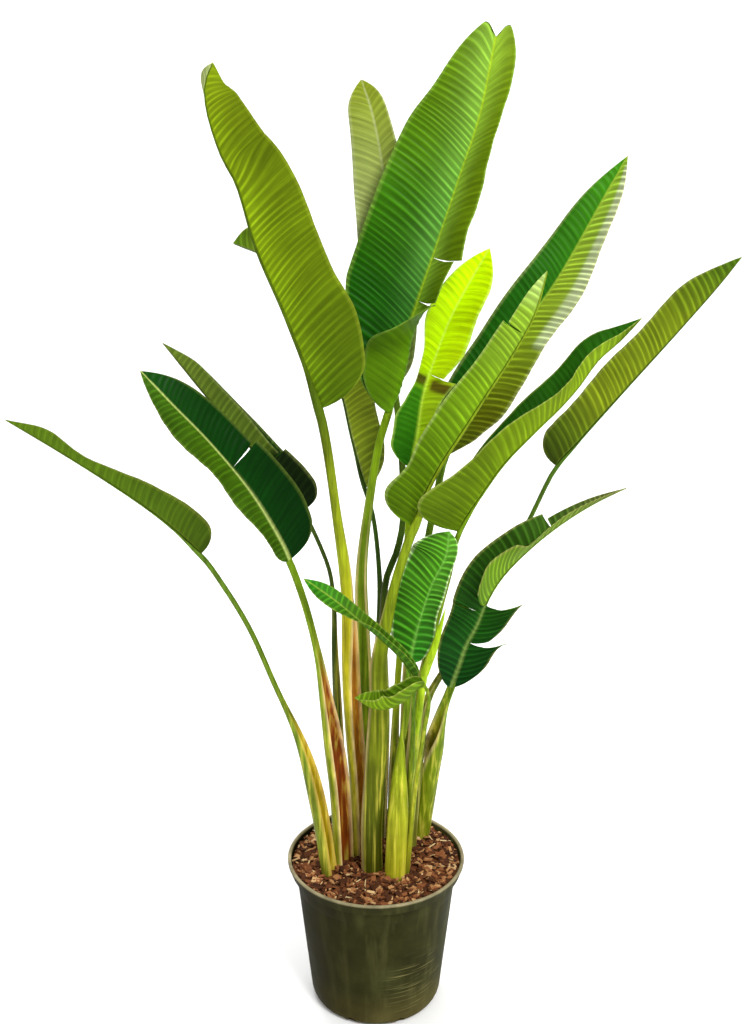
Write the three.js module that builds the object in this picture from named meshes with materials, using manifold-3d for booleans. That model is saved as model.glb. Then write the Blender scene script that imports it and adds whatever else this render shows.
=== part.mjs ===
// Potted bird of paradise: a clump of long-stalked leaves standing in bark soil in a nursery pot.
// Millimetres, +Z up, the front toward -Y, origin at the middle of the pot's underside.
import * as THREE from 'three';
import { mergeVertices } from 'three/addons/utils/BufferGeometryUtils.js';
import Module from 'manifold-3d';

const wasm = await Module();
wasm.setup();

// Pot
const POT_HEIGHT = 270;
const POT_RIM_RADIUS = 152.5;
const POT_WALL = 3;
const POT_SIDES = 32;
const DRAIN_HOLES = 8;
const DRAIN_HOLE_RADIUS = 7;

// Soil
const SOIL_TOP = 258;
const SOIL_MOUND = 5;
const FIT_GAP = 0.6;

// Leaves
const ROOT_DEPTH = 55;
const BLADE_THICKNESS = 1.2;
const RIB_DEPTH = 5;
const BLADE_COLUMNS = 3;
const BLADE_ROWS = [0.012, 0.05, 0.11, 0.19, 0.29, 0.39, 0.49, 0.59, 0.69, 0.78, 0.86, 0.93, 0.98];
const STALK_RINGS = 9;
const MARGIN_WAVE = 4;

const GREEN_DEEP = 0x1f5a1c;
const GREEN_LEAF = 0x3b7a1e;
const GREEN_OLIVE = 0x6d8f1e;
const GREEN_BRIGHT = 0x9fc41f;

const group = new THREE.Group();
group.name = 'potted_bird_of_paradise';

function addPart(name, geometry, colour, roughness) {
  const material = new THREE.MeshStandardMaterial({ color: colour, roughness, metalness: 0 });
  const mesh = new THREE.Mesh(geometry, material);
  mesh.name = name;
  group.add(mesh);
}

// A closed three.js geometry as a solid that can be joined and cut, and back.
function toSolid(geometry) {
  const bare = geometry.clone();
  bare.deleteAttribute('normal');
  bare.deleteAttribute('uv');
  const merged = mergeVertices(bare, 1e-4);
  return new wasm.Manifold(new wasm.Mesh({
    numProp: 3,
    vertProperties: new Float32Array(merged.attributes.position.array),
    triVerts: new Uint32Array(merged.index.array),
  }));
}

function toGeometry(solid) {
  const mesh = solid.getMesh();
  const geometry = new THREE.BufferGeometry();
  geometry.setAttribute('position', new THREE.BufferAttribute(mesh.vertProperties, 3));
  geometry.setIndex(new THREE.BufferAttribute(mesh.triVerts, 1));
  geometry.computeVertexNormals();
  return geometry;
}

function meshOf(points, faces) {
  const geometry = new THREE.BufferGeometry();
  const flat = points.flatMap((p) => [p.x, p.y, p.z]);
  geometry.setAttribute('position', new THREE.Float32BufferAttribute(flat, 3));
  geometry.setIndex(faces.flat());
  return geometry;
}

// Middle line

function vec(p) {
  return new THREE.Vector3(p[0], p[1], p[2]);
}

// The value of column k of a knot list at t. Two knots at one t are the two sides of a tear,
// and side tells which of them counts there.
function knotValue(knots, k, t, side) {
  const near = 1e-6;
  let i = 0;
  while (i < knots.length - 2 && (knots[i + 1][0] < t - near
    || (Math.abs(knots[i + 1][0] - t) <= near && (side > 0 || knots[i + 1][0] - knots[i][0] < near)))) {
    i += 1;
  }
  const [a, b] = [knots[i], knots[i + 1]];
  const span = b[0] - a[0];
  if (span < near) return side > 0 ? b[k] : a[k];
  const s = Math.min(Math.max((t - a[0]) / span, 0), 1);
  const before = i > 0 && a[0] - knots[i - 1][0] > near ? knots[i - 1] : null;
  const after = i + 2 < knots.length && knots[i + 2][0] - b[0] > near ? knots[i + 2] : null;
  const slope = (b[k] - a[k]) / span;
  const m0 = before ? bend(slope, (a[k] - before[k]) / (a[0] - before[0])) : slope;
  const m1 = after ? bend(slope, (after[k] - b[k]) / (after[0] - b[0])) : slope;
  const s2 = s * s;
  const s3 = s2 * s;
  return (2 * s3 - 3 * s2 + 1) * a[k] + (s3 - 2 * s2 + s) * span * m0
    + (3 * s2 - 2 * s3) * b[k] + (s3 - s2) * span * m1;
}

function bend(a, b) {
  return a * b <= 0 ? 0 : (2 * a * b) / (a + b);
}

// The whole leaf's middle line: stalk from below the soil, then the rib to the tip.
function leafLine(leaf) {
  const points = [...leaf.stalk, ...leaf.rib].map(vec);
  const foot = points[0].clone();
  const slope = points[1].clone().sub(foot).normalize();
  foot.addScaledVector(slope, -(foot.z - (SOIL_TOP - ROOT_DEPTH)) / slope.z);
  points[0] = foot;
  const curve = new THREE.CatmullRomCurve3(points, false, 'centripetal');
  curve.arcLengthDivisions = 400;
  const lengths = curve.getLengths(400);
  const whole = lengths[400];
  const neck = lengths[Math.round((400 * (leaf.stalk.length - 1)) / (points.length - 1))] / whole;
  return { curve, neck, whole };
}

// Right-hand frame on the line: along, across and out of the leaf's upper side.
function frameAt(line, share, face) {
  const at = line.curve.getPointAt(share);
  const along = line.curve.getTangentAt(share);
  const across = along.clone().cross(face).normalize();
  const out = across.clone().cross(along).normalize();
  return { at, along, across, out };
}

function faceAt(leaf, line, share) {
  const foot = vec(leaf.opens);
  const base = vec(leaf.face[0]);
  const tip = vec(leaf.face[leaf.face.length - 1]);
  if (share < line.neck) {
    const s = THREE.MathUtils.smoothstep(share / line.neck, 0.35, 1);
    return foot.normalize().lerp(base.normalize(), s).normalize();
  }
  const s = (share - line.neck) / (1 - line.neck);
  return base.normalize().lerp(tip.normalize(), s).normalize();
}

// Stalk

// One ring of the stalk: a rounded back and a hollow front. open is 1 where the sheath clasps
// the inner stalks and 0 where only a shallow groove is left.
function stalkRing(frame, half, depth, open, grow) {
  const ring = [];
  const reach = THREE.MathUtils.lerp(140, 118, open);
  const put = (angle, wide, deep) => {
    const a = THREE.MathUtils.degToRad(angle);
    ring.push(frame.at.clone()
      .addScaledVector(frame.across, Math.sin(a) * wide)
      .addScaledVector(frame.out, -Math.cos(a) * deep));
  };
  for (let k = 0; k <= 8; k += 1) {
    put(-reach + (k * reach) / 4, half + grow, depth + grow);
  }
  if (grow > 0) {
    put((reach + 180) / 2, half + grow, depth + grow);
    put(180, half + grow, depth + grow);
    put(-(reach + 180) / 2, half + grow, depth + grow);
    return ring;
  }
  const wall = Math.min(3.2, depth * 0.4);
  const groove = [150, 180, 210];
  const inner = [92, 0, -92];
  for (let k = 0; k < 3; k += 1) {
    const g = THREE.MathUtils.degToRad(groove[k]);
    const c = THREE.MathUtils.degToRad(inner[k]);
    const x = THREE.MathUtils.lerp(Math.sin(g) * half * 0.6, Math.sin(c) * (half - wall), open);
    const z = THREE.MathUtils.lerp(-Math.cos(g) * depth * 0.35, -Math.cos(c) * (depth - wall), open);
    ring.push(frame.at.clone().addScaledVector(frame.across, x).addScaledVector(frame.out, z));
  }
  return ring;
}

function stalkSize(leaf, share) {
  const { sheath, petiole } = leaf;
  const s = THREE.MathUtils.smoothstep(share, sheath.from ?? 0.1, sheath.to ?? 0.55);
  return {
    half: THREE.MathUtils.lerp(sheath.half, petiole, s),
    depth: THREE.MathUtils.lerp(sheath.depth, petiole * 0.85, s),
    open: (sheath.open ?? 0.7) * (1 - s),
  };
}

function loft(rings) {
  const n = rings[0].length;
  const points = rings.flat();
  const faces = [];
  for (let r = 0; r + 1 < rings.length; r += 1) {
    for (let k = 0; k < n; k += 1) {
      const a = r * n + k;
      const b = r * n + ((k + 1) % n);
      faces.push([a, b + n, b], [a, a + n, b + n]);
    }
  }
  const last = (rings.length - 1) * n;
  const cap = ringCap(n);
  cap.forEach(([a, b, c]) => {
    faces.push([a, b, c], [last + c, last + b, last + a]);
  });
  return meshOf(points, faces);
}

// The flat end of a ring of twelve: the front points join the rounded back as a strip.
function ringCap(n) {
  const cap = [];
  const back = n - 3;
  const front = [n - 3, n - 2, n - 1];
  let [i, j] = [back - 1, 0];
  cap.push([i, front[0], i - 1], [i - 1, front[0], i - 2]);
  cap.push([i - 2, front[0], front[1]], [i - 2, front[1], i - 3], [i - 3, front[1], i - 4]);
  cap.push([j, j + 1, front[2]], [j + 1, j + 2, front[2]]);
  cap.push([j + 2, front[1], front[2]], [j + 2, j + 3, front[1]], [j + 3, j + 4, front[1]]);
  return cap;
}

function stalkSolid(leaf, line, grow) {
  const rings = [];
  const into = leaf.spear ? 1 : Math.min(line.neck + 45 / line.whole, 0.98);
  const top = grow > 0 ? (ROOT_DEPTH + 30) / line.whole : into;
  const steps = grow > 0 ? 2 : STALK_RINGS;
  for (let i = 0; i <= steps; i += 1) {
    const share = grow > 0 ? (i / steps) * top : stalkShare(i / steps, line, top);
    const size = stalkSize(leaf, share / line.neck);
    let taper = 1;
    if (grow === 0 && share > line.neck) {
      taper = leaf.spear ? spearTaper((share - line.neck) / (1 - line.neck)) : 0.55;
    }
    const frame = frameAt(line, share, faceAt(leaf, line, share));
    if (grow > 0 && i === 0) frame.at.z -= grow;
    if (!leaf.spear && grow === 0 && share > line.neck) frame.at.addScaledVector(frame.out, -size.depth * 0.4);
    rings.push(stalkRing(frame, size.half * taper, size.depth * taper, size.open, grow));
  }
  return toSolid(loft(rings));
}

function stalkShare(s, line, top) {
  return s < 1 ? (s / (1 - 1 / STALK_RINGS)) * line.neck : top;
}

function spearTaper(s) {
  return 1.2 - 1.1 * s * s;
}

// Blade

// A point of the blade: t runs from neck to tip, u from the rib (0) to the margin (1).
function bladePoint(leaf, line, side, t, u, edge) {
  const share = line.neck + t * (1 - line.neck);
  const frame = frameAt(line, share, faceAt(leaf, line, share));
  if (u === 0) return frame.at;
  const knots = side > 0 ? leaf.right : leaf.left;
  const width = knotValue(knots, 1, t, edge) * endRound(t, leaf);
  const fold = THREE.MathUtils.degToRad(knotValue(knots, 2, t, edge));
  const curl = THREE.MathUtils.degToRad(knotValue(knots, 3, t, edge) || 0.01);
  const [from, to] = side > 0 && leaf.hinge ? leaf.hinge : [0, 1];
  const near = Math.min(u, from);
  const turn = fold + curl * THREE.MathUtils.clamp((u - from) / (to - from), 0, 1);
  const far = Math.max(u - to, 0);
  const radius = (to - from) / curl;
  const out = near * Math.sin(fold) + radius * (Math.cos(fold) - Math.cos(turn)) + far * Math.sin(turn);
  const over = near * Math.cos(fold) + radius * (Math.sin(turn) - Math.sin(fold)) + far * Math.cos(turn);
  const wave = MARGIN_WAVE * u * u * Math.sin(t * 17 + (leaf.phase ?? 0) + side) * Math.min(1, width / 60);
  const sweep = side > 0 ? leaf.sweepRight ?? 0.12 : 0.12;
  const ahead = width * u * u * sweep
    + (leaf.fork ?? 0) * u * THREE.MathUtils.smoothstep(t, 0.84, 0.97);
  const slit = edge === 0 ? 0 : edge * (leaf.slit ?? 2.5) * u;
  return frame.at.clone()
    .addScaledVector(frame.across, side * (over * width - Math.sin(fold) * wave))
    .addScaledVector(frame.out, out * width + Math.cos(fold) * wave)
    .addScaledVector(frame.along, ahead + slit);
}

function endRound(t, leaf) {
  const base = Math.min(t / (leaf.baseRound ?? 0.09), 1);
  const tip = Math.max((t - (leaf.tipFrom ?? 0.72)) / (1 - (leaf.tipFrom ?? 0.72)), 0);
  return Math.sqrt(1 - (1 - base) * (1 - base)) * (1 - tip ** 3);
}

function tearsOf(knots) {
  return knots.filter((k, i) => i > 0 && Math.abs(k[0] - knots[i - 1][0]) < 1e-6).map((k) => k[0]);
}

// The blade as one sheet of points and triangles, opened along its tears.
function bladeSheet(leaf, line) {
  const tears = { 1: tearsOf(leaf.right), '-1': tearsOf(leaf.left) };
  const all = [...tears[1], ...tears[-1]];
  const rows = [...BLADE_ROWS.filter((t) => all.every((k) => Math.abs(k - t) > 0.03)), ...all];
  rows.sort((a, b) => a - b);
  const points = [];
  const faces = [];
  const halves = [];
  const columns = leaf.columns ?? BLADE_COLUMNS;
  const add = (p) => points.push(p) - 1;
  const neck = add(bladePoint(leaf, line, 1, 0, 0, 0));
  const tip = add(bladePoint(leaf, line, 1, 1, 0, 0));
  const ribs = rows.map((t) => add(bladePoint(leaf, line, 1, t, 0, 0)));
  for (const side of [1, -1]) {
    const face = (a, b, c) => {
      faces.push(side > 0 ? [a, c, b] : [a, b, c]);
      halves.push(side);
    };
    const before = [];
    const after = [];
    rows.forEach((t, i) => {
      const torn = tears[side].some((k) => Math.abs(k - t) < 1e-6);
      const row = (edge) => [ribs[i], ...[...Array(columns)].map(
        (_, c) => add(bladePoint(leaf, line, side, t, (c + 1) / columns, edge)),
      )];
      before.push(row(torn ? -1 : 0));
      after.push(torn ? row(1) : before[i]);
    });
    for (let c = 0; c < columns; c += 1) {
      face(neck, before[0][c], before[0][c + 1]);
      face(tip, after[rows.length - 1][c + 1], after[rows.length - 1][c]);
      for (let i = 0; i + 1 < rows.length; i += 1) {
        const [a, b, d, e] = [after[i][c], after[i][c + 1], before[i + 1][c], before[i + 1][c + 1]];
        face(a, d, e);
        face(a, e, b);
      }
    }
  }
  return { points, faces, halves, ribs: new Set([neck, tip, ...ribs]), tip };
}

// Gives the sheet its thickness: both sides carry the same triangles, the rib is a keel below.
// On the rib both half blades count alike, however wide each of them is.
function thicken(sheet) {
  const { points, faces, halves, ribs, tip } = sheet;
  const looks = { 1: points.map(() => new THREE.Vector3()), '-1': points.map(() => new THREE.Vector3()) };
  faces.forEach(([a, b, c], i) => {
    const n = points[b].clone().sub(points[a]).cross(points[c].clone().sub(points[a]));
    [a, b, c].forEach((k) => looks[halves[i]][k].add(n));
  });
  const normals = points.map((_, k) => looks[1][k].normalize().add(looks[-1][k].normalize()).normalize());
  const count = points.length;
  const solid = points.map((p, k) => p.clone().addScaledVector(normals[k], BLADE_THICKNESS / 2));
  points.forEach((p, k) => {
    const deep = ribs.has(k) && k !== tip ? RIB_DEPTH : BLADE_THICKNESS / 2;
    solid.push(p.clone().addScaledVector(normals[k], -deep));
  });
  const edges = new Map();
  for (const face of faces) {
    face.forEach((a, i) => edges.set(`${a}_${face[(i + 1) % 3]}`, [a, face[(i + 1) % 3]]));
  }
  const all = [];
  for (const [a, b, c] of faces) {
    all.push([a, b, c], [a + count, c + count, b + count]);
  }
  for (const [a, b] of edges.values()) {
    if (!edges.has(`${b}_${a}`)) all.push([b, a, a + count], [b, a + count, b + count]);
  }
  return toSolid(meshOf(solid, all));
}

// The leaves
// stalk and rib are the points of the middle line, opens is where the sheath's hollow looks, face is
// where the upper side looks at the neck and at the tip. right and left are the half blades as
// [share of the rib, width, fold up from flat, curl toward the margin]. hinge is the part of the
// right half's width that takes up its curl.
const LEAVES = [
  {
    name: 'leaf_upper_left', colour: GREEN_OLIVE,
    stalk: [[-26, 19, 258], [-29, 10, 396], [-36, -4, 514], [-40, -14, 600], [-44, -25, 756],
      [-60, -38, 890], [-86, -56, 1076]],
    rib: [[-130, -74, 1214], [-171, -88, 1319], [-196, -98, 1411], [-214, -100, 1446], [-232, -103, 1508],
      [-233, -104, 1541], [-221, -105, 1570]],
    opens: [0.75, -0.5, 0], face: [[0.35, 0.9, 0.25], [0.3, 0.9, 0.3]],
    sheath: { half: 17, depth: 15, from: 0.5, to: 0.85, open: 0.7 }, petiole: 7.5, tipFrom: 0.86,
    left: [[0, 75, 8, 0], [0.12, 94, 8, 6], [0.24, 103, 8, 6], [0.34, 97, 8, 4], [0.45, 94, 10, 2],
      [0.6, 88, 10, 0], [0.75, 72, 10, 0], [0.9, 46, 12, 0], [1, 30, 12, 0]],
    right: [[0, 60, 72, 0], [0.25, 85, 76, 4], [0.6, 80, 78, 0], [1, 44, 60, 0]],
  },
  {
    name: 'leaf_top_centre', colour: GREEN_LEAF,
    stalk: [[-14, 49, 258], [-16, 41, 475], [-22, 38, 660], [-24, 38, 780], [-13, 42, 885],
      [6, 50, 1000], [19, 55, 1044]],
    rib: [[43, 62, 1150], [66, 67, 1223], [95, 73, 1310], [127, 79, 1407], [155, 82, 1495],
      [176, 84, 1606]],
    opens: [0, -1, 0], face: [[-0.25, -0.93, 0.25], [-0.15, -0.95, 0.25]],
    sheath: { half: 13, depth: 10, from: 0.45, to: 0.9, open: 0.5 }, petiole: 6.5, fork: 30, tipFrom: 0.86,
    columns: 6, hinge: [0.08, 0.42],
    left: [[0, 44, 25, 0], [0.1, 66, 22, 0], [0.2, 98, 16, 2], [0.3, 118, 14, 4], [0.5, 115, 12, 4],
      [0.7, 104, 12, 0],
      [0.85, 76, 12, 0], [1, 38, 12, 0]],
    right: [[0, 66, 30, 140], [0.07, 88, 18, 165], [0.14, 97, 18, 162], [0.22, 84, 38, 76],
      [0.31, 100, 44, 24],
      [0.31, 80, 52, 10],
      [0.43, 84, 54, 0], [0.43, 102, 52, 0], [0.52, 92, 57, 0], [0.65, 84, 57, 0], [0.8, 68, 52, 0],
      [1, 48, 42, 0]],
  },
  {
    name: 'leaf_young_bright', colour: GREEN_BRIGHT,
    stalk: [[29, 84, 258], [35, 56, 536], [46, 50, 725], [52, 42, 851], [57, 32, 960]],
    rib: [[66, 29, 1020], [74, 28, 1080], [92, 27, 1140], [114, 26, 1200], [142, 25, 1255],
      [170, 22, 1306]],
    opens: [0, -1, 0], face: [[-0.2, -0.9, 0.3], [-0.3, -0.85, 0.3]],
    sheath: { half: 9, depth: 8, from: 0.2, to: 0.5, open: 0.3 }, petiole: 5.5,
    left: [[0, 30, 30, 0], [0.1, 42, 30, 0], [0.2, 42, 30, 0], [0.3, 26, 30, 0], [0.38, 18, 30, 0],
      [0.5, 22, 30, 0], [0.65, 38, 30, 0], [1, 24, 20, 0]],
    right: [[0, 20, 35, 0], [0.2, 26, 35, 0], [0.42, 54, 20, 0], [0.42, 34, 30, 0], [0.55, 53, 30, 0],
      [0.8, 54, 30, 0], [1, 38, 20, 0]],
  },
  {
    name: 'leaf_right_rear', colour: GREEN_LEAF,
    stalk: [[48, 64, 258], [53, 69, 505], [57, 69, 615], [69, 71, 723], [83, 73, 809], [99, 76, 900],
      [113, 78, 967]],
    rib: [[141, 82, 1017], [176, 86, 1080], [207, 90, 1127], [240, 95, 1181], [286, 102, 1249],
      [347, 112, 1360],
      [387, 120, 1434]],
    opens: [-0.5, -0.8, 0], face: [[-0.45, -0.75, 0.5], [-0.5, -0.7, 0.5]],
    sheath: { half: 11, depth: 9, from: 0.4, to: 0.8, open: 0.4 }, petiole: 6,
    left: [[0, 46, 35, 0], [0.2, 56, 35, 0], [0.5, 54, 35, 0], [0.75, 40, 30, 0], [1, 22, 25, 0]],
    right: [[0, 20, 12, 0], [0.1, 44, 12, 0], [0.2, 64, 12, 4], [0.5, 63, 12, 4], [0.75, 50, 15, 0],
      [1, 34, 20, 0]],
  },
  {
    name: 'leaf_right_folded', colour: GREEN_OLIVE,
    stalk: [[-7, -31, 258], [-9, -32, 345], [-2, -35, 470], [4, -37, 584], [4, -42, 660], [18, -48, 740],
      [32, -52, 806], [57, -57, 892]],
    rib: [[72, -60, 940], [98, -64, 995], [128, -68, 1045], [161, -72, 1101], [196, -78, 1160],
      [228, -84, 1225],
      [243, -88, 1288]],
    opens: [-0.9, 0.5, 0], face: [[-0.75, 0.15, 0.6], [-0.8, 0.2, 0.5]],
    sheath: { half: 18, depth: 20, from: 0.42, to: 0.9, open: 0.75 }, petiole: 9.5,
    left: [[0, 30, 84, 0], [0.3, 40, 86, 0], [0.7, 30, 86, 0], [1, 16, 80, 0]],
    right: [[0, 56, 68, 0], [0.08, 60, 69, 2], [0.19, 46, 70, 4], [0.3, 51, 70, 2], [0.4, 51, 70, 0],
      [0.6, 44, 72, 0], [0.78, 38, 72, 0], [0.78, 30, 72, 0],
      [0.9, 30, 72, 0], [1, 26, 70, 0]],
  },
  {
    name: 'leaf_right_middle', colour: GREEN_OLIVE,
    stalk: [[48, 18, 258], [62, 14, 454], [72, 10, 566], [86, 4, 656], [103, -2, 730], [117, -9, 795],
      [131, -20, 872]],
    rib: [[166, -42, 944], [196, -50, 992], [243, -46, 1042], [278, -38, 1075], [306, -26, 1104],
      [335, -20, 1144], [368, -14, 1173], [399, -8, 1206]],
    opens: [-0.6, -0.5, 0], face: [[-0.7, -0.05, 0.65], [-0.6, 0, 0.8]],
    sheath: { half: 12, depth: 10, from: 0.35, to: 0.85, open: 0.4 }, petiole: 5.5,
    left: [[0, 30, 76, 0], [0.3, 46, 58, 0], [0.5, 50, 50, 0], [0.8, 42, 50, 0], [1, 24, 45, 0]],
    right: [[0, 102, 44, 18], [0.1, 104, 48, 14], [0.2, 80, 56, 4], [0.3, 60, 58, 0], [0.42, 52, 55, 0],
      [0.6, 46, 44, 0],
      [0.8, 38, 38, 0], [1, 22, 40, 0]],
  },
  {
    name: 'leaf_far_right', colour: GREEN_OLIVE,
    stalk: [[60, 40, 258], [65, 42, 347], [75, 50, 453], [88, 52, 541], [118, 52, 602], [171, 50, 709],
      [205, 46, 781],
      [243, 38, 860], [286, 24, 965]],
    rib: [[316, 16, 1006], [382, 2, 1093], [444, -14, 1175], [504, -30, 1257], [533, -38, 1301]],
    opens: [-0.8, -0.3, 0], face: [[-0.7, 0, 0.7], [-0.7, 0.1, 0.7]],
    sheath: { half: 12, depth: 11, from: 0.2, to: 0.6, open: 0.4 }, petiole: 4.5,
    left: [[0, 30, 84, 0], [0.4, 44, 84, 0], [0.75, 38, 84, 0], [1, 20, 75, 0]],
    right: [[0, 56, 66, 0], [0.15, 60, 68, 0], [0.4, 56, 68, 0], [0.6, 54, 68, 0], [0.78, 48, 68, 0],
      [1, 32, 66, 0]],
  },
  {
    name: 'leaf_lower_right', colour: GREEN_DEEP,
    stalk: [[77, 80, 258], [86, 72, 338], [97, 61, 430], [112, 44, 520], [126, 34, 572]],
    rib: [[139, 28, 616], [149, 22, 653], [166, 14, 695], [182, 6, 745], [204, 0, 787], [245, -6, 836],
      [291, -10, 878],
      [342, -13, 914], [392, -15, 941]],
    opens: [-0.85, 0.4, 0], face: [[-0.1, -0.9, 0.4], [-0.6, -0.1, 0.78]],
    sheath: { half: 18, depth: 19, from: 0.6, to: 0.98, open: 0.4 }, petiole: 7, sweepRight: 0.7,
    left: [[0, 26, 30, 0], [0.15, 46, 30, 0], [0.33, 52, 42, 0], [0.33, 54, 46, 0], [0.45, 58, 50, 0],
      [0.6, 46, 55, 0],
      [0.72, 30, 50, 0], [0.72, 20, 50, 0], [0.85, 14, 50, 0], [1, 8, 50, 0]],
    right: [[0, 34, 10, 0], [0.2, 58, 6, 0], [0.2, 30, 4, 0], [0.36, 62, 0, 0], [0.36, 54, 80, 0],
      [0.44, 66, 80, 0],
      [0.54, 60, 72, 0], [0.6, 30, 60, 0], [0.75, 22, 55, 0], [1, 8, 50, 0]],
  },
  {
    name: 'leaf_inner_low', colour: GREEN_DEEP,
    stalk: [[32, -48, 258], [37, -44, 384], [41, -36, 492], [49, -35, 556], [56, -32, 650]],
    rib: [[63, -31, 690], [72, -30, 728], [89, -28, 783], [110, -26, 830], [115, -25, 872]],
    opens: [0.3, 0.9, 0], face: [[0.1, -0.92, 0.35], [0.1, -0.92, 0.35]],
    sheath: { half: 18, depth: 14, from: 0.35, to: 0.75, open: 0.6 }, petiole: 6, tipFrom: 0.82,
    left: [[0, 28, 6, 0], [0.25, 46, 4, 0], [0.5, 54, 2, 0], [0.75, 56, 0, 0], [1, 50, 0, 0]],
    right: [[0, 24, 50, 0], [0.25, 40, 55, 0], [0.6, 34, 58, 0], [0.85, 22, 50, 0], [1, 20, 40, 0]],
  },
  {
    name: 'leaf_spear', colour: GREEN_BRIGHT, spear: true,
    stalk: [[35, -16, 258], [50, -14, 360], [62, -26, 476], [67, -38, 540], [72, -48, 590], [77, -55, 638]],
    rib: [[92, -64, 690], [108, -76, 762]],
    opens: [0, 1, 0], face: [[0, 1, 0], [0, 1, 0]],
    sheath: { half: 6, depth: 5.5, from: 0.2, to: 0.6, open: 0 }, petiole: 6,
  },
  {
    name: 'leaf_small_crossing', colour: GREEN_LEAF,
    stalk: [[45, -26, 258], [55, -27, 360], [59, -42, 476], [60, -56, 540], [60, -68, 598], [60, -86, 645]],
    rib: [[40, -96, 684], [10, -100, 718], [-26, -101, 751], [-64, -99, 785], [-112, -95, 820]],
    opens: [0, 1, 0], face: [[0.3, -0.4, 0.85], [0.35, -0.55, 0.7]],
    sheath: { half: 5, depth: 5, from: 0.2, to: 0.5, open: 0.2 }, petiole: 4,
    left: [[0, 14, 80, 0], [0.4, 16, 75, 0], [0.6, 22, 40, 0], [0.85, 24, 15, 0], [1, 16, 10, 0]],
    right: [[0, 14, 70, 0], [0.4, 16, 60, 0], [0.6, 16, 35, 0], [0.85, 16, 15, 0], [1, 12, 10, 0]],
  },
  {
    name: 'leaf_small_curled', colour: GREEN_LEAF,
    stalk: [[52, -40, 258], [60, -43, 360], [67, -56, 450], [76, -76, 540], [83, -96, 615],
      [74, -108, 646]],
    rib: [[50, -116, 628], [22, -120, 612], [-6, -120, 612], [-34, -116, 628]],
    opens: [0, 1, 0], face: [[0.1, -0.2, 0.95], [0.2, -0.3, 0.9]],
    sheath: { half: 5, depth: 5, from: 0.2, to: 0.5, open: 0.2 }, petiole: 3.5,
    left: [[0, 26, 62, 20], [0.4, 36, 66, 24], [0.7, 32, 60, 20], [1, 20, 40, 0]],
    right: [[0, 26, 62, 10], [0.4, 34, 62, 16], [0.7, 30, 58, 10], [1, 20, 40, 0]],
  },
  {
    name: 'leaf_far_left', colour: GREEN_OLIVE,
    stalk: [[-78, -40, 258], [-96, -46, 398], [-122, -52, 512], [-163, -55, 620], [-199, -65, 721],
      [-235, -75, 796],
      [-270, -85, 856]],
    rib: [[-320, -95, 912], [-368, -105, 955], [-447, -120, 1017], [-535, -140, 1083]],
    opens: [0.95, -0.25, 0], face: [[0.5, 0, 0.85], [0.5, 0, 0.85]],
    sheath: { half: 17, depth: 15, from: 0.28, to: 0.6, open: 0.8 }, petiole: 5,
    left: [[0, 50, 74, 0], [0.2, 48, 74, 0], [0.35, 42, 74, 0], [0.5, 26, 74, 0], [0.66, 17, 74, 0],
      [0.82, 24, 74, 0],
      [1, 14, 70, 0]],
    right: [[0, 34, 80, 0], [0.3, 34, 82, 0], [0.65, 14, 80, 0], [0.85, 18, 80, 0], [1, 10, 70, 0]],
  },
  {
    name: 'leaf_left_dark', colour: GREEN_DEEP,
    stalk: [[-55, -10, 258], [-61, -20, 411], [-71, -31, 509], [-81, -40, 585], [-93, -50, 670],
      [-112, -60, 762],
      [-135, -70, 841]],
    rib: [[-147, -74, 872], [-189, -88, 955], [-246, -105, 1038], [-299, -120, 1103], [-338, -130, 1152]],
    opens: [0.8, -0.6, 0], face: [[0.4, -0.65, 0.65], [0.35, -0.6, 0.7]],
    sheath: { half: 19, depth: 17, from: 0.38, to: 0.8, open: 0.8 }, petiole: 6,
    left: [[0, 30, 26, 0], [0.2, 42, 25, 0], [0.5, 58, 24, 0], [0.8, 54, 22, 0], [1, 36, 20, 0]],
    right: [[0, 52, 20, 0], [0.2, 68, 20, 4], [0.35, 62, 20, 4], [0.47, 57, 20, 4], [0.47, 50, 22, 0],
      [0.6, 48, 22, 0],
      [0.85, 38, 20, 0], [1, 30, 15, 0]],
  },
  {
    name: 'leaf_left_rear', colour: GREEN_OLIVE,
    stalk: [[-51, 44, 258], [-64, 34, 551], [-68, 28, 654], [-69, 22, 728], [-75, 16, 788], [-92, 10, 841],
      [-116, 0, 899]],
    rib: [[-129, -4, 924], [-194, -15, 1005], [-263, -30, 1097], [-318, -45, 1176]],
    opens: [0.9, 0, 0], face: [[0.6, 0.1, 0.75], [0.6, 0.1, 0.75]],
    sheath: { half: 11, depth: 9, from: 0.45, to: 0.8, open: 0.5 }, petiole: 4.5,
    left: [[0, 40, 62, 0], [0.12, 47, 62, 0], [0.28, 48, 62, 0], [0.28, 30, 72, 0], [0.5, 30, 74, 0],
      [0.8, 26, 74, 0],
      [1, 14, 70, 0]],
    right: [[0, 34, 80, 0], [0.3, 34, 82, 0], [0.7, 27, 82, 0], [1, 14, 75, 0]],
  },
  {
    name: 'leaf_top_rear', colour: GREEN_OLIVE,
    stalk: [[8, 66, 258], [14, 76, 480], [12, 78, 648], [17, 77, 751], [34, 78, 799], [44, 80, 850], [42, 84, 956],
      [36, 91, 1026],
      [29, 98, 1078]],
    rib: [[22, 108, 1213], [18, 115, 1322], [12, 118, 1398], [2, 118, 1460], [-10, 118, 1509],
      [-23, 118, 1546]],
    opens: [0, -1, 0], face: [[-0.1, -0.98, 0.2], [-0.1, -0.98, 0.2]],
    sheath: { half: 10, depth: 9, from: 0.3, to: 0.65, open: 0.4 }, petiole: 5.5, tipFrom: 0.88,
    left: [[0, 30, 12, 0], [0.2, 46, 12, 0], [0.6, 49, 12, 0], [0.8, 42, 12, 0], [1, 30, 12, 0]],
    right: [[0, 30, 12, 0], [0.2, 42, 12, 0], [0.5, 40, 12, 0], [0.75, 30, 12, 0], [1, 20, 12, 0]],
  },
  {
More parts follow.
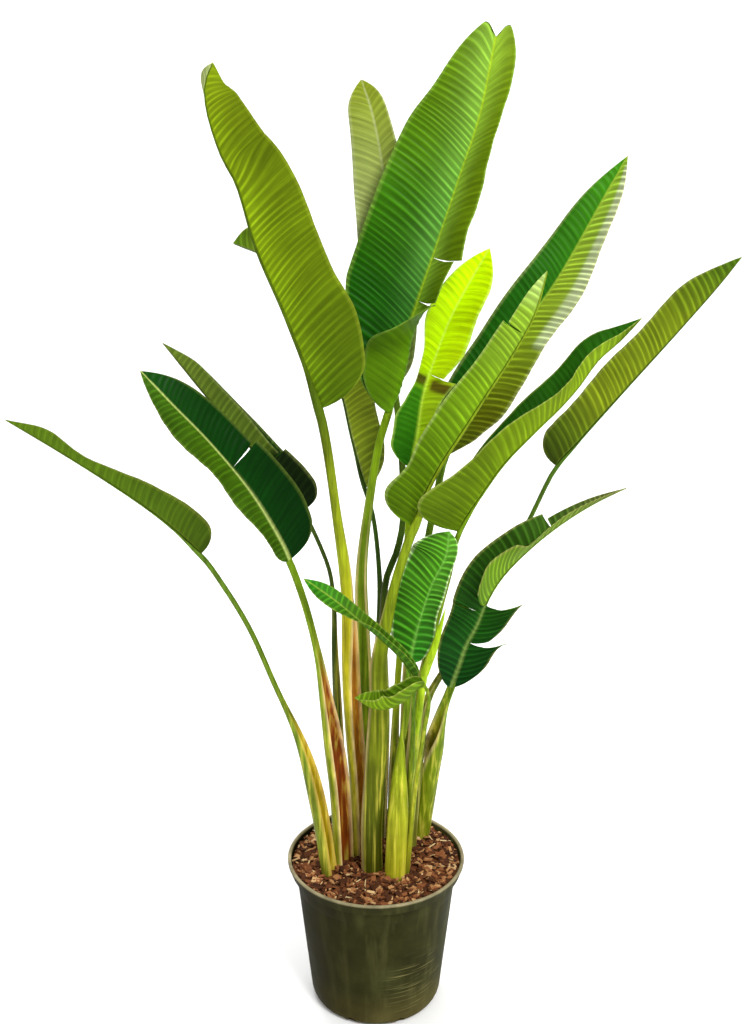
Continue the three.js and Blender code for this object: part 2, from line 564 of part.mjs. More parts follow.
    name: 'leaf_left_behind', colour: GREEN_OLIVE,
    stalk: [[-20, 82, 258], [2, 99, 560], [6, 95, 643], [6, 97, 745], [-4, 100, 851], [-18, 104, 903]],
    rib: [[-40, 110, 987], [-58, 116, 1066], [-100, 122, 1180], [-146, 124, 1262], [-226, 126, 1300]],
    opens: [0, -1, 0], face: [[0.7, 0.1, 0.6], [0.6, 0.1, 0.75]],
    sheath: { half: 12, depth: 10, from: 0.35, to: 0.8, open: 0.4 }, petiole: 5, tipFrom: 0.93,
    left: [[0, 40, 50, 0], [0.15, 60, 50, 0], [0.4, 60, 60, 0], [0.7, 50, 66, 0], [1, 36, 66, 0]],
    right: [[0, 30, 78, 0], [0.4, 44, 80, 0], [0.8, 32, 80, 0], [1, 22, 76, 0]],
  },
];

// Pot

function potProfile() {
  const shoulder = POT_HEIGHT - 22;
  return [
    [0, 0], [99, 0], [110, 4.5], [114, 16], [137.5, shoulder - 3], [146.5, shoulder + 1],
    [150, POT_HEIGHT - 7], [POT_RIM_RADIUS, POT_HEIGHT - 5], [POT_RIM_RADIUS, POT_HEIGHT - 1.5],
    [POT_RIM_RADIUS - 1.5, POT_HEIGHT], [POT_RIM_RADIUS - 4.5, POT_HEIGHT],
    [POT_RIM_RADIUS - 6, POT_HEIGHT - 2], [144, shoulder + 4], [137.5 - POT_WALL, shoulder + 0.5],
    [114 - POT_WALL, 17], [106, 6], [98, POT_WALL], [0, POT_WALL],
  ];
}

function lathe(profile, sides) {
  const points = profile.map(([r, z]) => new THREE.Vector2(r, z));
  const geometry = new THREE.LatheGeometry(points, sides);
  geometry.rotateX(Math.PI / 2);
  return geometry;
}

function drainHole(angle) {
  const hole = new THREE.CylinderGeometry(DRAIN_HOLE_RADIUS, DRAIN_HOLE_RADIUS, 30, 10);
  hole.rotateZ(Math.PI / 2);
  hole.rotateY(THREE.MathUtils.degToRad(35));
  hole.translate(110, 0, 6);
  hole.rotateZ(angle);
  return toSolid(hole);
}

let pot = toSolid(lathe(potProfile(), POT_SIDES));
for (let i = 0; i < DRAIN_HOLES; i += 1) {
  pot = pot.subtract(drainHole(((i + 0.5) / DRAIN_HOLES) * 2 * Math.PI));
}

// Soil

function soilProfile() {
  const shoulder = POT_HEIGHT - 22;
  const gap = FIT_GAP;
  return [
    [0, POT_WALL + gap], [98 - gap, POT_WALL + gap], [106 - gap, 6 + gap],
    [114 - POT_WALL - gap, 17 + gap], [137.5 - POT_WALL - gap, shoulder + 0.5 + gap],
    [144 - gap, shoulder + 4 + gap], [144.6 - gap, SOIL_TOP - 1], [120, SOIL_TOP],
    [70, SOIL_TOP + SOIL_MOUND * 0.7],
    [0, SOIL_TOP + SOIL_MOUND],
  ];
}

let soil = toSolid(lathe(soilProfile(), POT_SIDES));

for (const leaf of LEAVES) {
  const line = leafLine(leaf);
  soil = soil.subtract(stalkSolid(leaf, line, FIT_GAP));
  let solid = stalkSolid(leaf, line, 0);
  if (!leaf.spear) solid = solid.add(thicken(bladeSheet(leaf, line)));
  addPart(leaf.name, toGeometry(solid), leaf.colour, 0.5);
}

addPart('pot', toGeometry(pot), 0x34351f, 0.55);
addPart('soil', toGeometry(soil), 0x5a3a26, 0.95);

export default group;
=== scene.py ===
"""A potted bird of paradise, about 1.63 m tall, in a dark nursery pot. Metres, +Z up, the front toward -Y."""
import math

import bpy
import numpy as np
from mathutils import Matrix, Vector


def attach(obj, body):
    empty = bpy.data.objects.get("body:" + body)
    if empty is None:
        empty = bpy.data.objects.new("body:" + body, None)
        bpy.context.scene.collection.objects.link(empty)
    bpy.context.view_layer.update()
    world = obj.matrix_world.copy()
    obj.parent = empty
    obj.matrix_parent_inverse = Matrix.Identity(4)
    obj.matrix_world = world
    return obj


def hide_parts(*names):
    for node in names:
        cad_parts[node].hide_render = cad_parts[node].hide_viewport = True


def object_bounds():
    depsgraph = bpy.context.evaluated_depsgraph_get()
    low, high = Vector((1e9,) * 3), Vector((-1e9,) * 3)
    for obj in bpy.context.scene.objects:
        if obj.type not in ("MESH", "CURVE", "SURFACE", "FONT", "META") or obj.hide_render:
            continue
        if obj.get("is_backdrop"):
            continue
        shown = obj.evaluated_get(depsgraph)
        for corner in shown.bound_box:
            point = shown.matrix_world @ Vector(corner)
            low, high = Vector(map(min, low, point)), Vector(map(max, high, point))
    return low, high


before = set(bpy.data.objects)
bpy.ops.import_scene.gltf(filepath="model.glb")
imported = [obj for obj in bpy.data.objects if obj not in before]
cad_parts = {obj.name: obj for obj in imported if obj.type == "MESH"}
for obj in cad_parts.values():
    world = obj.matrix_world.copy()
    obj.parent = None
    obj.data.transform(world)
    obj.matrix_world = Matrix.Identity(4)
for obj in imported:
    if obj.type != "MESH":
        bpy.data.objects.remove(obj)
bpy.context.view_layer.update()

# Pot: a round tapered nursery pot about 305 mm across the rim, blow-moulded in black-green polyethylene,
# with a folded lip and eight drain holes cut in its lower corner. It stands on its flat underside.
# It is drawn up from one disc: each step is extruded from the last face and scaled to its radius.


def to_linear(code):
    """An sRGB hex colour as linear red, green and blue."""
    parts = [int(code[i:i + 2], 16) / 255 for i in (1, 3, 5)]
    return tuple(c / 12.92 if c <= 0.04045 else ((c + 0.055) / 1.055) ** 2.4 for c in parts)


def add_node(tree, kind, settings=None, **inputs):
    """Adds a shader node with its settings and its inputs: values or sockets, i0 being the first input."""
    node = tree.nodes.new("ShaderNode" + kind)
    for key, value in (settings or {}).items():
        setattr(node, key, value)
    for key, value in inputs.items():
        socket = node.inputs[int(key[1:]) if key[0] == "i" and key[1:].isdigit() else key.replace("_", " ")]
        if isinstance(value, bpy.types.NodeSocket):
            tree.links.new(value, socket)
        elif isinstance(value, str):
            socket.default_value = (*to_linear(value), 1)
        else:
            socket.default_value = value
    return node


def maths(tree, operation, *values):
    inputs = {f"i{k}": value for k, value in enumerate(values)}
    return add_node(tree, "Math", {"operation": operation}, **inputs).outputs[0]


def spread(tree, value, low, high, to_low, to_high):
    """A value between low and high, carried over to the range between to_low and to_high and held there."""
    return add_node(tree, "MapRange", i0=value, i1=low, i2=high, i3=to_low, i4=to_high).outputs[0]


def noise(tree, place, scale, detail, roughness=0.5):
    node = add_node(tree, "TexNoise", Vector=place, Scale=scale, Detail=detail, Roughness=roughness)
    return node.outputs["Fac"]


def stretched(tree, place, scale):
    """Coordinates scaled apart along the axes, which draws a texture out into streaks."""
    return add_node(tree, "Mapping", Vector=place, Scale=scale).outputs["Vector"]


def mix_in(tree, share, under, over):
    """A colour laid over another one, by a share of 0 to 1."""
    return add_node(tree, "Mix", {"data_type": "RGBA"}, i0=share, i6=under, i7=over).outputs[2]


def new_material(name):
    material = bpy.data.materials.new(name)
    material.use_nodes = True
    material.node_tree.nodes.clear()
    return material, material.node_tree


def ramp(tree, fac, stops):
    """A colour ramp over the given (place, hex) stops."""
    node = add_node(tree, "ValToRGB", Fac=fac)
    while len(node.color_ramp.elements) < len(stops):
        node.color_ramp.elements.new(0.5)
    for element, (place, code) in zip(node.color_ramp.elements, stops):
        element.position = place
        element.color = (*to_linear(code), 1)
    return node.outputs["Color"]


def deselect():
    if bpy.context.object and bpy.context.object.mode != "OBJECT":
        bpy.ops.object.mode_set(mode="OBJECT")
    bpy.ops.object.select_all(action="DESELECT")


def draw_up(name, steps, rings=0, ring_width=0.0052):
    """A turned solid: a disc, extruded and scaled to each radius and height, with rings inset in its last face."""
    radius, height = steps[0]
    deselect()
    bpy.ops.mesh.primitive_circle_add(vertices=96, radius=radius, fill_type="NGON", location=(0, 0, height))
    solid = bpy.context.object
    solid.name = name
    bpy.ops.object.mode_set(mode="EDIT")
    bpy.ops.mesh.select_all(action="SELECT")
    for wide, high in steps[1:]:
        bpy.ops.mesh.extrude_region_move(TRANSFORM_OT_translate={"value": (0, 0, high - height)})
        scale = wide / radius
        bpy.ops.transform.resize(value=(scale, scale, 1), center_override=(0, 0, high))
        radius, height = wide, high
    for _ in range(rings):
        bpy.ops.mesh.inset(thickness=ring_width, depth=0)
    bpy.ops.mesh.select_all(action="SELECT")
    bpy.ops.mesh.normals_make_consistent(inside=False)
    bpy.ops.object.mode_set(mode="OBJECT")
    return solid


POT_STEPS = [  # radius and height, from the underside up the outside, over the lip and down the inside
    (0.0990, 0.0000),
    (0.1045, 0.0008), (0.1095, 0.0045), (0.1122, 0.0090), (0.1140, 0.0160), (0.1160, 0.0350), (0.1233, 0.1050),
    (0.1305, 0.1750), (0.1352, 0.2200), (0.1358, 0.2232), (0.1368, 0.2250), (0.1375, 0.2440), (0.1383, 0.2465),
    (0.1440, 0.2480), (0.1466, 0.2492), (0.1476, 0.2515), (0.1498, 0.2615), (0.1514, 0.2640), (0.1524, 0.2652),
    (0.1525, 0.2675), (0.1520, 0.2690), (0.1508, 0.2699), (0.1484, 0.2700), (0.1472, 0.2692), (0.1466, 0.2675),
    (0.1440, 0.2520), (0.1345, 0.2485), (0.1230, 0.1330), (0.1110, 0.0170), (0.1060, 0.0060), (0.0980, 0.0030),
]
pot = draw_up("nursery_pot", POT_STEPS)

DRAIN_HOLES = 8
for i in range(DRAIN_HOLES):  # 14 mm across, cut slantwise through the corner
    turn = (i + 0.5) / DRAIN_HOLES * 2 * math.pi
    deselect()
    bpy.ops.mesh.primitive_cylinder_add(vertices=24, radius=0.007, depth=0.03, location=(0, 0, 0))
    drill = bpy.context.object
    tilt = Matrix.Rotation(turn, 4, "Z") @ Matrix.Translation((0.110, 0, 0.006))
    drill.data.transform(tilt @ Matrix.Rotation(math.radians(125), 4, "Y"))
    deselect()
    bpy.context.view_layer.objects.active = pot
    cut = pot.modifiers.new("drain", "BOOLEAN")
    cut.operation, cut.object, cut.solver = "DIFFERENCE", drill, "EXACT"
    bpy.ops.object.modifier_apply(modifier=cut.name)
    bpy.data.objects.remove(drill)
pot.select_set(True)
bpy.ops.object.shade_smooth_by_angle(angle=math.radians(38))

# Polyethylene, matt and a little waxy, gone grey-green with dust and water marks; the lip's top edge is painted
# paler.
polyethylene, tree = new_material("dusty_polyethylene")
place = add_node(tree, "TexCoord").outputs["Object"]
parts = add_node(tree, "SeparateXYZ", Vector=place)
height = parts.outputs["Z"]
clouds = noise(tree, place, 14.0, 6.0, 0.6)
upright = stretched(tree, place, (38.0, 38.0, 5.0))
streaks = noise(tree, upright, 1.0, 5.0, 0.55)
speck = noise(tree, place, 260.0, 3.0)
plastic = ramp(tree, clouds, [(0.3, "#25250F"), (0.5, "#303016"), (0.72, "#3C3E20")])
dusty = spread(tree, streaks, 0.48, 0.78, 0.0, 0.55)
plastic = mix_in(tree, dusty, plastic, "#5C5B34")
low = spread(tree, height, 0.075, 0.0, 0.0, 0.6)
low = maths(tree, "MULTIPLY", low, clouds)
plastic = mix_in(tree, low, plastic, "#7A6C3C")
# painted shade: the pot's left side is darkened, as if the light fell from the right
left_painted_shade = spread(tree, parts.outputs["X"], 0.0, -0.12, 0.0, 0.95)
plastic = mix_in(tree, left_painted_shade, plastic, "#1C1904")
slant = add_node(tree, "Mapping", Vector=place, Rotation=(0.0, 0.87, 0.25), Scale=(9.0, 20.0, 420.0))
slant = slant.outputs["Vector"]
scuff = noise(tree, slant, 1.0, 2.0)
side = add_node(tree, "Mapping", Vector=place, Location=(-0.075, 0.11, -0.085)).outputs["Vector"]
side = add_node(tree, "VectorMath", {"operation": "LENGTH"}, i0=side).outputs["Value"]
side = spread(tree, side, 0.075, 0.03, 0.0, 0.45)
scuff = spread(tree, scuff, 0.56, 0.7, 0.0, 1.0)
scuff = maths(tree, "MULTIPLY", scuff, side)
plastic = mix_in(tree, scuff, plastic, "#A39A60")
# the top edge of the lip is painted paler, in streaks
paler_lip_top = spread(tree, height, 0.2655, 0.2688, 0.0, 1.3)
paler_lip_top = maths(tree, "MULTIPLY", paler_lip_top, streaks)
plastic = mix_in(tree, paler_lip_top, plastic, "#A89D7A")
grit = add_node(tree, "Bump", Strength=0.12, Distance=0.0004, Height=speck)
rough = spread(tree, clouds, 0.3, 0.7, 0.42, 0.62)
shader = add_node(tree, "BsdfPrincipled", Base_Color=plastic, Roughness=rough, IOR=1.5,
                  Specular_IOR_Level=0.02, Normal=grit.outputs["Normal"])
add_node(tree, "OutputMaterial", Surface=shader.outputs["BSDF"])
pot.data.materials.append(polyethylene)
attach(pot, "root")
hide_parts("pot")

# Soil: bark-based potting mix. The body is one turned solid that fills the pot to 13 mm under the rim, with a
# flat top. Over it lies a loose, slightly domed layer of shredded bark chips about 4 to 15 mm long, with a few
# straws up to 26 mm. Most of the chips hang clear of the flat top, by up to 8 mm.

rng = np.random.default_rng(7)
FOOT_LEVEL = 0.262  # where the stalks are measured, so that the chips keep clear of them


def foot_of(node):
    """The middle and half width of a stalk where it passes the soil, read from its node."""
    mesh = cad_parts[node].data
    spots = []
    for edge in mesh.edges:
        a, b = (mesh.vertices[k].co for k in edge.vertices)
        if (a.z - FOOT_LEVEL) * (b.z - FOOT_LEVEL) < 0:
            spots.append(a.lerp(b, (FOOT_LEVEL - a.z) / (b.z - a.z)))
    middle = sum(spots, Vector()) / len(spots)
    return middle.x, middle.y, max((s - middle).length for s in spots)


feet = [foot_of(node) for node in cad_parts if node.startswith("leaf_")]

SOIL_STEPS = [
    (0.0974, 0.0036), (0.1054, 0.0066), (0.1104, 0.0176), (0.1339, 0.2491), (0.1434, 0.2526), (0.1440, 0.2570),
]
soil = draw_up("bark_soil", SOIL_STEPS, rings=26)
bark_of_body = soil.data.attributes.new("bark", "FLOAT", "POINT")
bark_of_body.data.foreach_set("value", [0.3] * len(soil.data.vertices))

# One chip is modelled five times over, each with its own bends, and copied over the soil.
deselect()
chips = []
for k in range(5):
    bpy.ops.mesh.primitive_cube_add(size=1, location=(0, 0, 0))
    chip = bpy.context.object
    bpy.ops.object.mode_set(mode="EDIT")
    bpy.ops.mesh.subdivide(number_cuts=1)
    bpy.ops.object.mode_set(mode="OBJECT")
    places = np.array([v.co for v in chip.data.vertices])
    places *= 1 + 0.35 * (rng.random(places.shape) - 0.5)
    places[:, 2] += 0.5 * (places[:, 0] ** 2) * (k - 2) * 0.6
    places[:, 1] *= 1 - 0.55 * np.abs(places[:, 0]) * (k % 3) / 2
    faces = np.array([list(p.vertices) for p in chip.data.polygons])
    chips.append((places, faces))
    bpy.data.objects.remove(chip)

CHIP_COUNT, MOST_TRIES = 2300, 9000
CHIP_LEVEL, CHIP_DOME, SOIL_RADIUS = 0.259, 0.0035, 0.144  # the layer's edge, its rise to the middle, its reach
STRAW_SHARE = 0.02
all_places, all_faces, all_bark = [], [], []
count = 0
tries = 0
while count < CHIP_COUNT and tries < MOST_TRIES:
    tries += 1
    r = 0.1425 * math.sqrt(rng.random())
    a = rng.random() * 2 * math.pi
    x, y = r * math.cos(a), r * math.sin(a)
    straw = rng.random() < STRAW_SHARE
    length = 0.012 + 0.014 * rng.random() if straw else 0.004 + 0.0105 * rng.random() ** 1.6
    if any(math.hypot(x - fx, y - fy) < fr * 0.55 + length * 0.45 for fx, fy, fr in feet):
        continue
    if r + length * 0.45 > 0.1452:
        continue
    places, faces = chips[int(rng.integers(5))]
    wide = length * (0.08 if straw else 0.3 + 0.4 * rng.random())
    thick = length * (0.06 if straw else 0.12 + 0.14 * rng.random())
    lift = 0.0005 + 0.0030 * rng.random()
    turn = Matrix.Rotation(rng.random() * 6.28, 3, "Z") @ Matrix.Rotation((rng.random() - 0.5) * 0.9, 3, "Y")
    turn = turn @ Matrix.Rotation((rng.random() - 0.5) * 1.1, 3, "X")
    laid = (places * (length, wide, thick)) @ np.array(turn).T
    laid += (x, y, CHIP_LEVEL + CHIP_DOME * (1 - (r / SOIL_RADIUS) ** 2) + lift)
    all_faces.append(faces + count * len(places))
    all_places.append(laid)
    all_bark.append(np.full(len(places), 0.97 if straw else rng.random() ** 1.4 * 0.9))
    count += 1
chip_mesh = bpy.data.meshes.new("bark_chips")
chip_mesh.from_pydata(np.vstack(all_places).tolist(), [], np.vstack(all_faces).tolist())
chip_mesh.attributes.new("bark", "FLOAT", "POINT").data.foreach_set("value", np.concatenate(all_bark))
chip_pieces = bpy.data.objects.new("bark_chips", chip_mesh)
bpy.context.scene.collection.objects.link(chip_pieces)
deselect()
chip_pieces.select_set(True)
soil.select_set(True)
bpy.context.view_layer.objects.active = soil
bpy.ops.object.join()

# Shredded bark: red-brown to straw, dull and fibrous; each chip has its own shade.
bark, tree = new_material("shredded_bark")
place = add_node(tree, "TexCoord").outputs["Object"]
shade = add_node(tree, "Attribute", {"attribute_name": "bark"}).outputs["Fac"]
fibre = noise(tree, place, 420.0, 5.0, 0.7)
patch = noise(tree, place, 34.0, 3.0)
shade = maths(tree, "MULTIPLY_ADD", fibre, 0.3, shade)
shade = maths(tree, "MULTIPLY_ADD", patch, 0.24, shade)
wood = ramp(tree, spread(tree, shade, 0.2, 1.3, 0.0, 1.0), [
    (0.0, "#2E1A10"), (0.22, "#54301B"), (0.45, "#7D4A2A"), (0.62, "#96603A"), (0.8, "#B98A58"), (1.0, "#E2CB98")])
bump = add_node(tree, "Bump", Strength=0.5, Distance=0.0008, Height=fibre)
shader = add_node(tree, "BsdfPrincipled", Base_Color=wood, Roughness=0.9, IOR=1.45,
                  Specular_IOR_Level=0.15, Normal=bump.outputs["Normal"])
add_node(tree, "OutputMaterial", Surface=shader.outputs["BSDF"])
soil.data.materials.clear()
soil.data.materials.append(bark)
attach(soil, "root")
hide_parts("soil")

# Leaves: each is one growth from its foot in the soil to its tip. The stalk's lower part is a sheath, open
# along one side with thin cream margins; above it narrows to a grooved petiole, runs on as the rib under the
# blade, and the two half blades rise from it, pleated along their side veins and torn here and there.
# A blade's curve can't be pulled from a primitive, so its points are worked out from the leaf's middle line.
# In a leaf's call, stalk and rib are places on that line in mm. opens is the way that the foot's open side looks,
# and face the ways that the upper side looks at the neck and at the tip. sheath is its half width and half depth
# in mm, the shares of the stalk where it begins and ends to narrow, and how far it is open. left and right are
# knots of a half blade: share of the rib, width in mm, then fold, its rise from flat toward the upper side's way,
# and curl, its further bend up to the margin, both in degrees. Two knots at one share are the sides of a tear.
# hinge is the part of the right half's width that curls. A band is the shares where it begins and ends, its half
# (1 right, -1 left), its colour, and the share of the width where it begins. lit and sheen brighten the blade
# along the rib, fade weakens its stripes toward the margin, and calm names a half whose stripes are weak.

PLEAT = 10.5  # mm from one pleat to the next
PLEAT_HIGH = 0.6  # mm from the middle of the sheet to a crest
HALF_THICK = 0.45  # mm, half of the blade's thickness


def smooth(x, low, high):
    s = np.clip((np.asarray(x, float) - low) / (high - low), 0, 1)
    return s * s * (3 - 2 * s)


def leaf_line(stalk, rib):
    """The middle line from 55 mm under the soil to the tip: share of length, place, direction; neck and length."""
    knots = np.array(stalk + rib, float)
    slope = (knots[1] - knots[0]) / np.linalg.norm(knots[1] - knots[0])
    knots[0] -= slope * (knots[0, 2] - 203) / slope[2]
    ends = np.vstack([2 * knots[0] - knots[1], knots, 2 * knots[-1] - knots[-2]])
    places, ways = [], []
    for i in range(len(knots) - 1):
        x0, x1, x2, x3 = ends[i:i + 4]
        d0, d1, d2 = (np.linalg.norm(b - a) ** 0.5 for a, b in ((x0, x1), (x1, x2), (x2, x3)))
        t1 = ((x1 - x0) / d0 - (x2 - x0) / (d0 + d1) + (x2 - x1) / d1) * d1
        t2 = ((x2 - x1) / d1 - (x3 - x1) / (d1 + d2) + (x3 - x2) / d2) * d1
        c2 = -3 * x1 + 3 * x2 - 2 * t1 - t2
        c3 = 2 * x1 - 2 * x2 + t1 + t2
        s = np.arange(80)[:, None] / 80
        places.append(x1 + t1 * s + c2 * s ** 2 + c3 * s ** 3)
        ways.append(t1 + 2 * c2 * s + 3 * c3 * s ** 2)
    places.append(x2[None])
    ways.append((t1 + 2 * c2 + 3 * c3)[None])
    places, ways = np.vstack(places), np.vstack(ways)
    run = np.concatenate([[0], np.cumsum(np.linalg.norm(np.diff(places, axis=0), axis=1))])
    parts = len(knots) - 1
    at_neck = round(400 * (len(stalk) - 1) / parts) / 400 * parts * 80
    neck = np.interp(at_neck, np.arange(len(run)), run) / run[-1]
    return {"share": run / run[-1], "place": places, "way": ways, "neck": neck, "whole": run[-1]}


def unit(v):
    return v / np.linalg.norm(v, axis=-1, keepdims=True)


def frames_at(leaf, line, shares):
    """Place, direction, rightward and outward axes on the middle line. Outward is the upper side's way."""
    shares = np.atleast_1d(shares)
    at = np.stack([np.interp(shares, line["share"], line["place"][:, k]) for k in range(3)], 1)
    along = unit(np.stack([np.interp(shares, line["share"], line["way"][:, k]) for k in range(3)], 1))
    foot, base, tip = (unit(np.array(v, float)) for v in (leaf["opens"], *leaf["face"]))
    neck = line["neck"]
    s = smooth(shares / neck, 0.35, 1)[:, None]
    t = np.clip((shares - neck) / (1 - neck), 0, 1)[:, None]
    face = unit(np.where((shares < neck)[:, None], foot + (base - foot) * s, base + (tip - base) * t))
    across = unit(np.cross(along, face))
    return at, along, across, unit(np.cross(across, along))


def bend(a, b):
    return 0 if a * b <= 0 else 2 * a * b / (a + b)


def knot_value(knots, k, t, side):
    """Column k of a knot list at t. Two knots at one t are the two sides of a tear; side picks one."""
    near = 1e-6
    i = 0
    while i < len(knots) - 2 and (knots[i + 1][0] < t - near or (
            abs(knots[i + 1][0] - t) <= near and (side > 0 or knots[i + 1][0] - knots[i][0] < near))):
        i += 1
    a, b = knots[i], knots[i + 1]
    span = b[0] - a[0]
    if span < near:
        return b[k] if side > 0 else a[k]
    s = min(max((t - a[0]) / span, 0), 1)
    slope = (b[k] - a[k]) / span
    m0 = m1 = slope
    if i > 0 and a[0] - knots[i - 1][0] > near:
        m0 = bend(slope, (a[k] - knots[i - 1][k]) / (a[0] - knots[i - 1][0]))
    if i + 2 < len(knots) and knots[i + 2][0] - b[0] > near:
        m1 = bend(slope, (knots[i + 2][k] - b[k]) / (knots[i + 2][0] - b[0]))
    return ((2 * s ** 3 - 3 * s ** 2 + 1) * a[k] + (s ** 3 - 2 * s ** 2 + s) * span * m0
            + (3 * s ** 2 - 2 * s ** 3) * b[k] + (s ** 3 - s ** 2) * span * m1)


def end_round(t, leaf):
    """How the blade's width closes at the neck and at the tip."""
    base = min(t / 0.09, 1)
    tip_from = leaf.get("tip_from", 0.72)
    tip = max((t - tip_from) / (1 - tip_from), 0)
    closes = 0.5 if leaf.get("fork") else 1
    return math.sqrt(1 - (1 - base) ** 2) * (1 - closes * tip ** 3)


def pleat_beat(leaf, run):
    """How many pleats lie between the neck and a run in mm; they are never quite even."""
    k = leaf["seed"]
    return run / PLEAT + 0.55 * np.sin(run / 41 + k) + 0.22 * np.sin(run / 15.7 + 2 * k)


def colour_at(stops, t):
    """A colour between (place, hex) stops, in linear light, for an array of places."""
    places = [s[0] for s in stops]
    values = np.array([to_linear(s[1]) for s in stops])
    return np.stack([np.interp(t, places, values[:, k]) for k in range(3)], -1)


def blade_row(leaf, line, side, t, edge, columns):
    """One row of a half blade from the rib to the margin: points, distance from the rib and run, in mm."""
    knots = leaf["right"] if side > 0 else leaf["left"]
    width = knot_value(knots, 1, t, edge) * end_round(t, leaf)
    near = min(max(3 / max(width, 1), 0.02), 0.14)
    u = np.concatenate([[near, 2 * near], np.linspace(2 * near, 1, columns - 1)[1:]])
    fold = math.radians(knot_value(knots, 2, t, edge))
    curl = math.radians(knot_value(knots, 3, t, edge) or 0.01)
    low, high = leaf.get("hinge", (0, 1)) if side > 0 else (0, 1)
    flat, far = np.minimum(u, low), np.maximum(u - high, 0)
    turn = fold + curl * np.clip((u - low) / (high - low), 0, 1)
    out = flat * math.sin(fold) + (math.cos(fold) - np.cos(turn)) * (high - low) / curl + far * np.sin(turn)
    over = flat * math.cos(fold) + (np.sin(turn) - math.sin(fold)) * (high - low) / curl + far * np.cos(turn)
    wave = 4 * u ** 2 * math.sin(t * 17 + side) * min(1, width / 60)
    wave += 0.35 * u ** 3 * math.sin(t * 83 + leaf["seed"]) * min(1, width / 60)
    sweep = leaf.get("sweep_right", 0.12) if side > 0 else 0.12
    ahead = width * u ** 2 * sweep + leaf.get("fork", 0) * 0.6 * np.sin(1.9 * u) * smooth(t, 0.86, 1)
    ahead = ahead + edge * 2.5 * u
    at, along, across, outward = (v[0] for v in frames_at(leaf, line, line["neck"] + t * (1 - line["neck"])))
    points = (at + np.outer(side * (over * width - math.sin(fold) * wave), across)
              + np.outer(out * width + math.cos(fold) * wave, outward) + np.outer(ahead, along))
    return points, u * width, u


def build_blade(leaf, line):
    """The blade as a closed sheet 0.9 mm thick. Returns points, faces and the values painted on its points."""
    length = (1 - line["neck"]) * line["whole"]
    widest = max(k[1] for k in leaf["left"] + leaf["right"])
    columns = int(np.clip(widest / 6, 8, 16))
    tears = {s: [k[0] for a, k in zip(leaf[n], leaf[n][1:]) if abs(k[0] - a[0]) < 1e-6]
             for s, n in ((1, "right"), (-1, "left"))}
    every = tears[1] + tears[-1]
    count = int(length / PLEAT * 6)
    spaced = list(np.linspace(0, 1, count + 2)[1:-1]) + [0.0006, 0.0022]
    rows = sorted([t for t in spaced if all(abs(t - k) > 0.3 / count for k in every)] + every)
    points, faces, halves, dist, share, run, half = [], [], [], [], [], [], []

    def add(place, d, u, t, side):
        points.append(place)
        dist.append(d)
        share.append(u)
        run.append(t)
        half.append(side)
        return len(points) - 1

    rib = frames_at(leaf, line, line["neck"] + np.array([0.0, *rows, 1.0]) * (1 - line["neck"]))[0]
    ribs = [add(p, 0, 0, t, 0) for p, t in zip(rib, [0.0, *rows, 1.0])]
    for side in (1, -1):
        before, after = [], []
        for i, t in enumerate(rows):
            torn = any(abs(k - t) < 1e-6 for k in tears[side])
            made = []
            for edge in ((-1, 1) if torn else (0,)):
                place, d, u = blade_row(leaf, line, side, t, edge, columns)
                made.append([ribs[i + 1]] + [add(p, a, b, t, side) for p, a, b in zip(place, d, u)])
            before.append(made[0])
            after.append(made[-1])
        order = (0, 2, 1) if side > 0 else (0, 1, 2)
        for c in range(columns):
            for tri in ((ribs[0], before[0][c], before[0][c + 1]), (ribs[-1], after[-1][c + 1], after[-1][c])):
                faces.append([tri[k] for k in order])
            for i in range(len(rows) - 1):
                quad = [after[i][c], before[i + 1][c], before[i + 1][c + 1], after[i][c + 1]]
                faces.append(quad[::-1] if side > 0 else quad)
        halves += [(1 - side) // 2] * (len(faces) - len(halves))
    points = np.array(points)
    dist, share, run, half = (np.array(v, float) for v in (dist, share, run, half))
    # on the rib both half blades count alike, however wide each of them is
    looks = np.zeros((2, len(points), 3))
    for f, h in zip(faces, halves):
        a, b, c = points[f[0]], points[f[1]], points[f[-1]]
        looks[h, f] += np.cross(b - a, c - a)
    normals = unit((looks / np.maximum(np.linalg.norm(looks, axis=2, keepdims=True), 1e-9)).sum(axis=0))
    # side veins leave the rib leaning forward and bend outward before they reach the margin
    start = run * length - dist * (leaf.get("lean", 0.25) + 0.3 * (1 - share))
    beat = pleat_beat(leaf, start)
    crest = 2 * (0.5 + 0.5 * np.sin(2 * math.pi * beat)) ** 1.6 - 1
    lift = crest * np.clip(dist / 9, 0, 1) * PLEAT_HIGH * (1 - 0.8 * smooth(share, 0.6, 1))
    ridge = np.clip(dist / 5, 0.25, 1) * leaf.get("stripe", 1.0) * (1 - leaf.get("fade", 0.3) * share)
    ridge = np.where(half == leaf.get("calm", 9), 0.35, 1) * ridge
    ups = points + normals * (lift + HALF_THICK)[:, None]
    downs = points + normals * (lift - HALF_THICK)[:, None]
    n = len(points)
    closed = [list(f) for f in faces] + [[k + n for k in reversed(f)] for f in faces]
    sides = {}
    for f in faces:
        for a, b in zip(f, f[1:] + f[:1]):
            sides[(a, b)] = 1
    for a, b in sides:
        if (b, a) not in sides:
            closed.append([b, a, a + n, b + n])
    values = {"dist": np.tile(dist, 2), "share": np.tile(share, 2), "run": np.tile(run, 2),
              "half": np.tile(half, 2), "ridge": np.tile(ridge, 2), "under": np.repeat([0.0, 1.0], n),
              "beat": np.tile(beat, 2)}
    return np.vstack([ups, downs]), closed, values, length


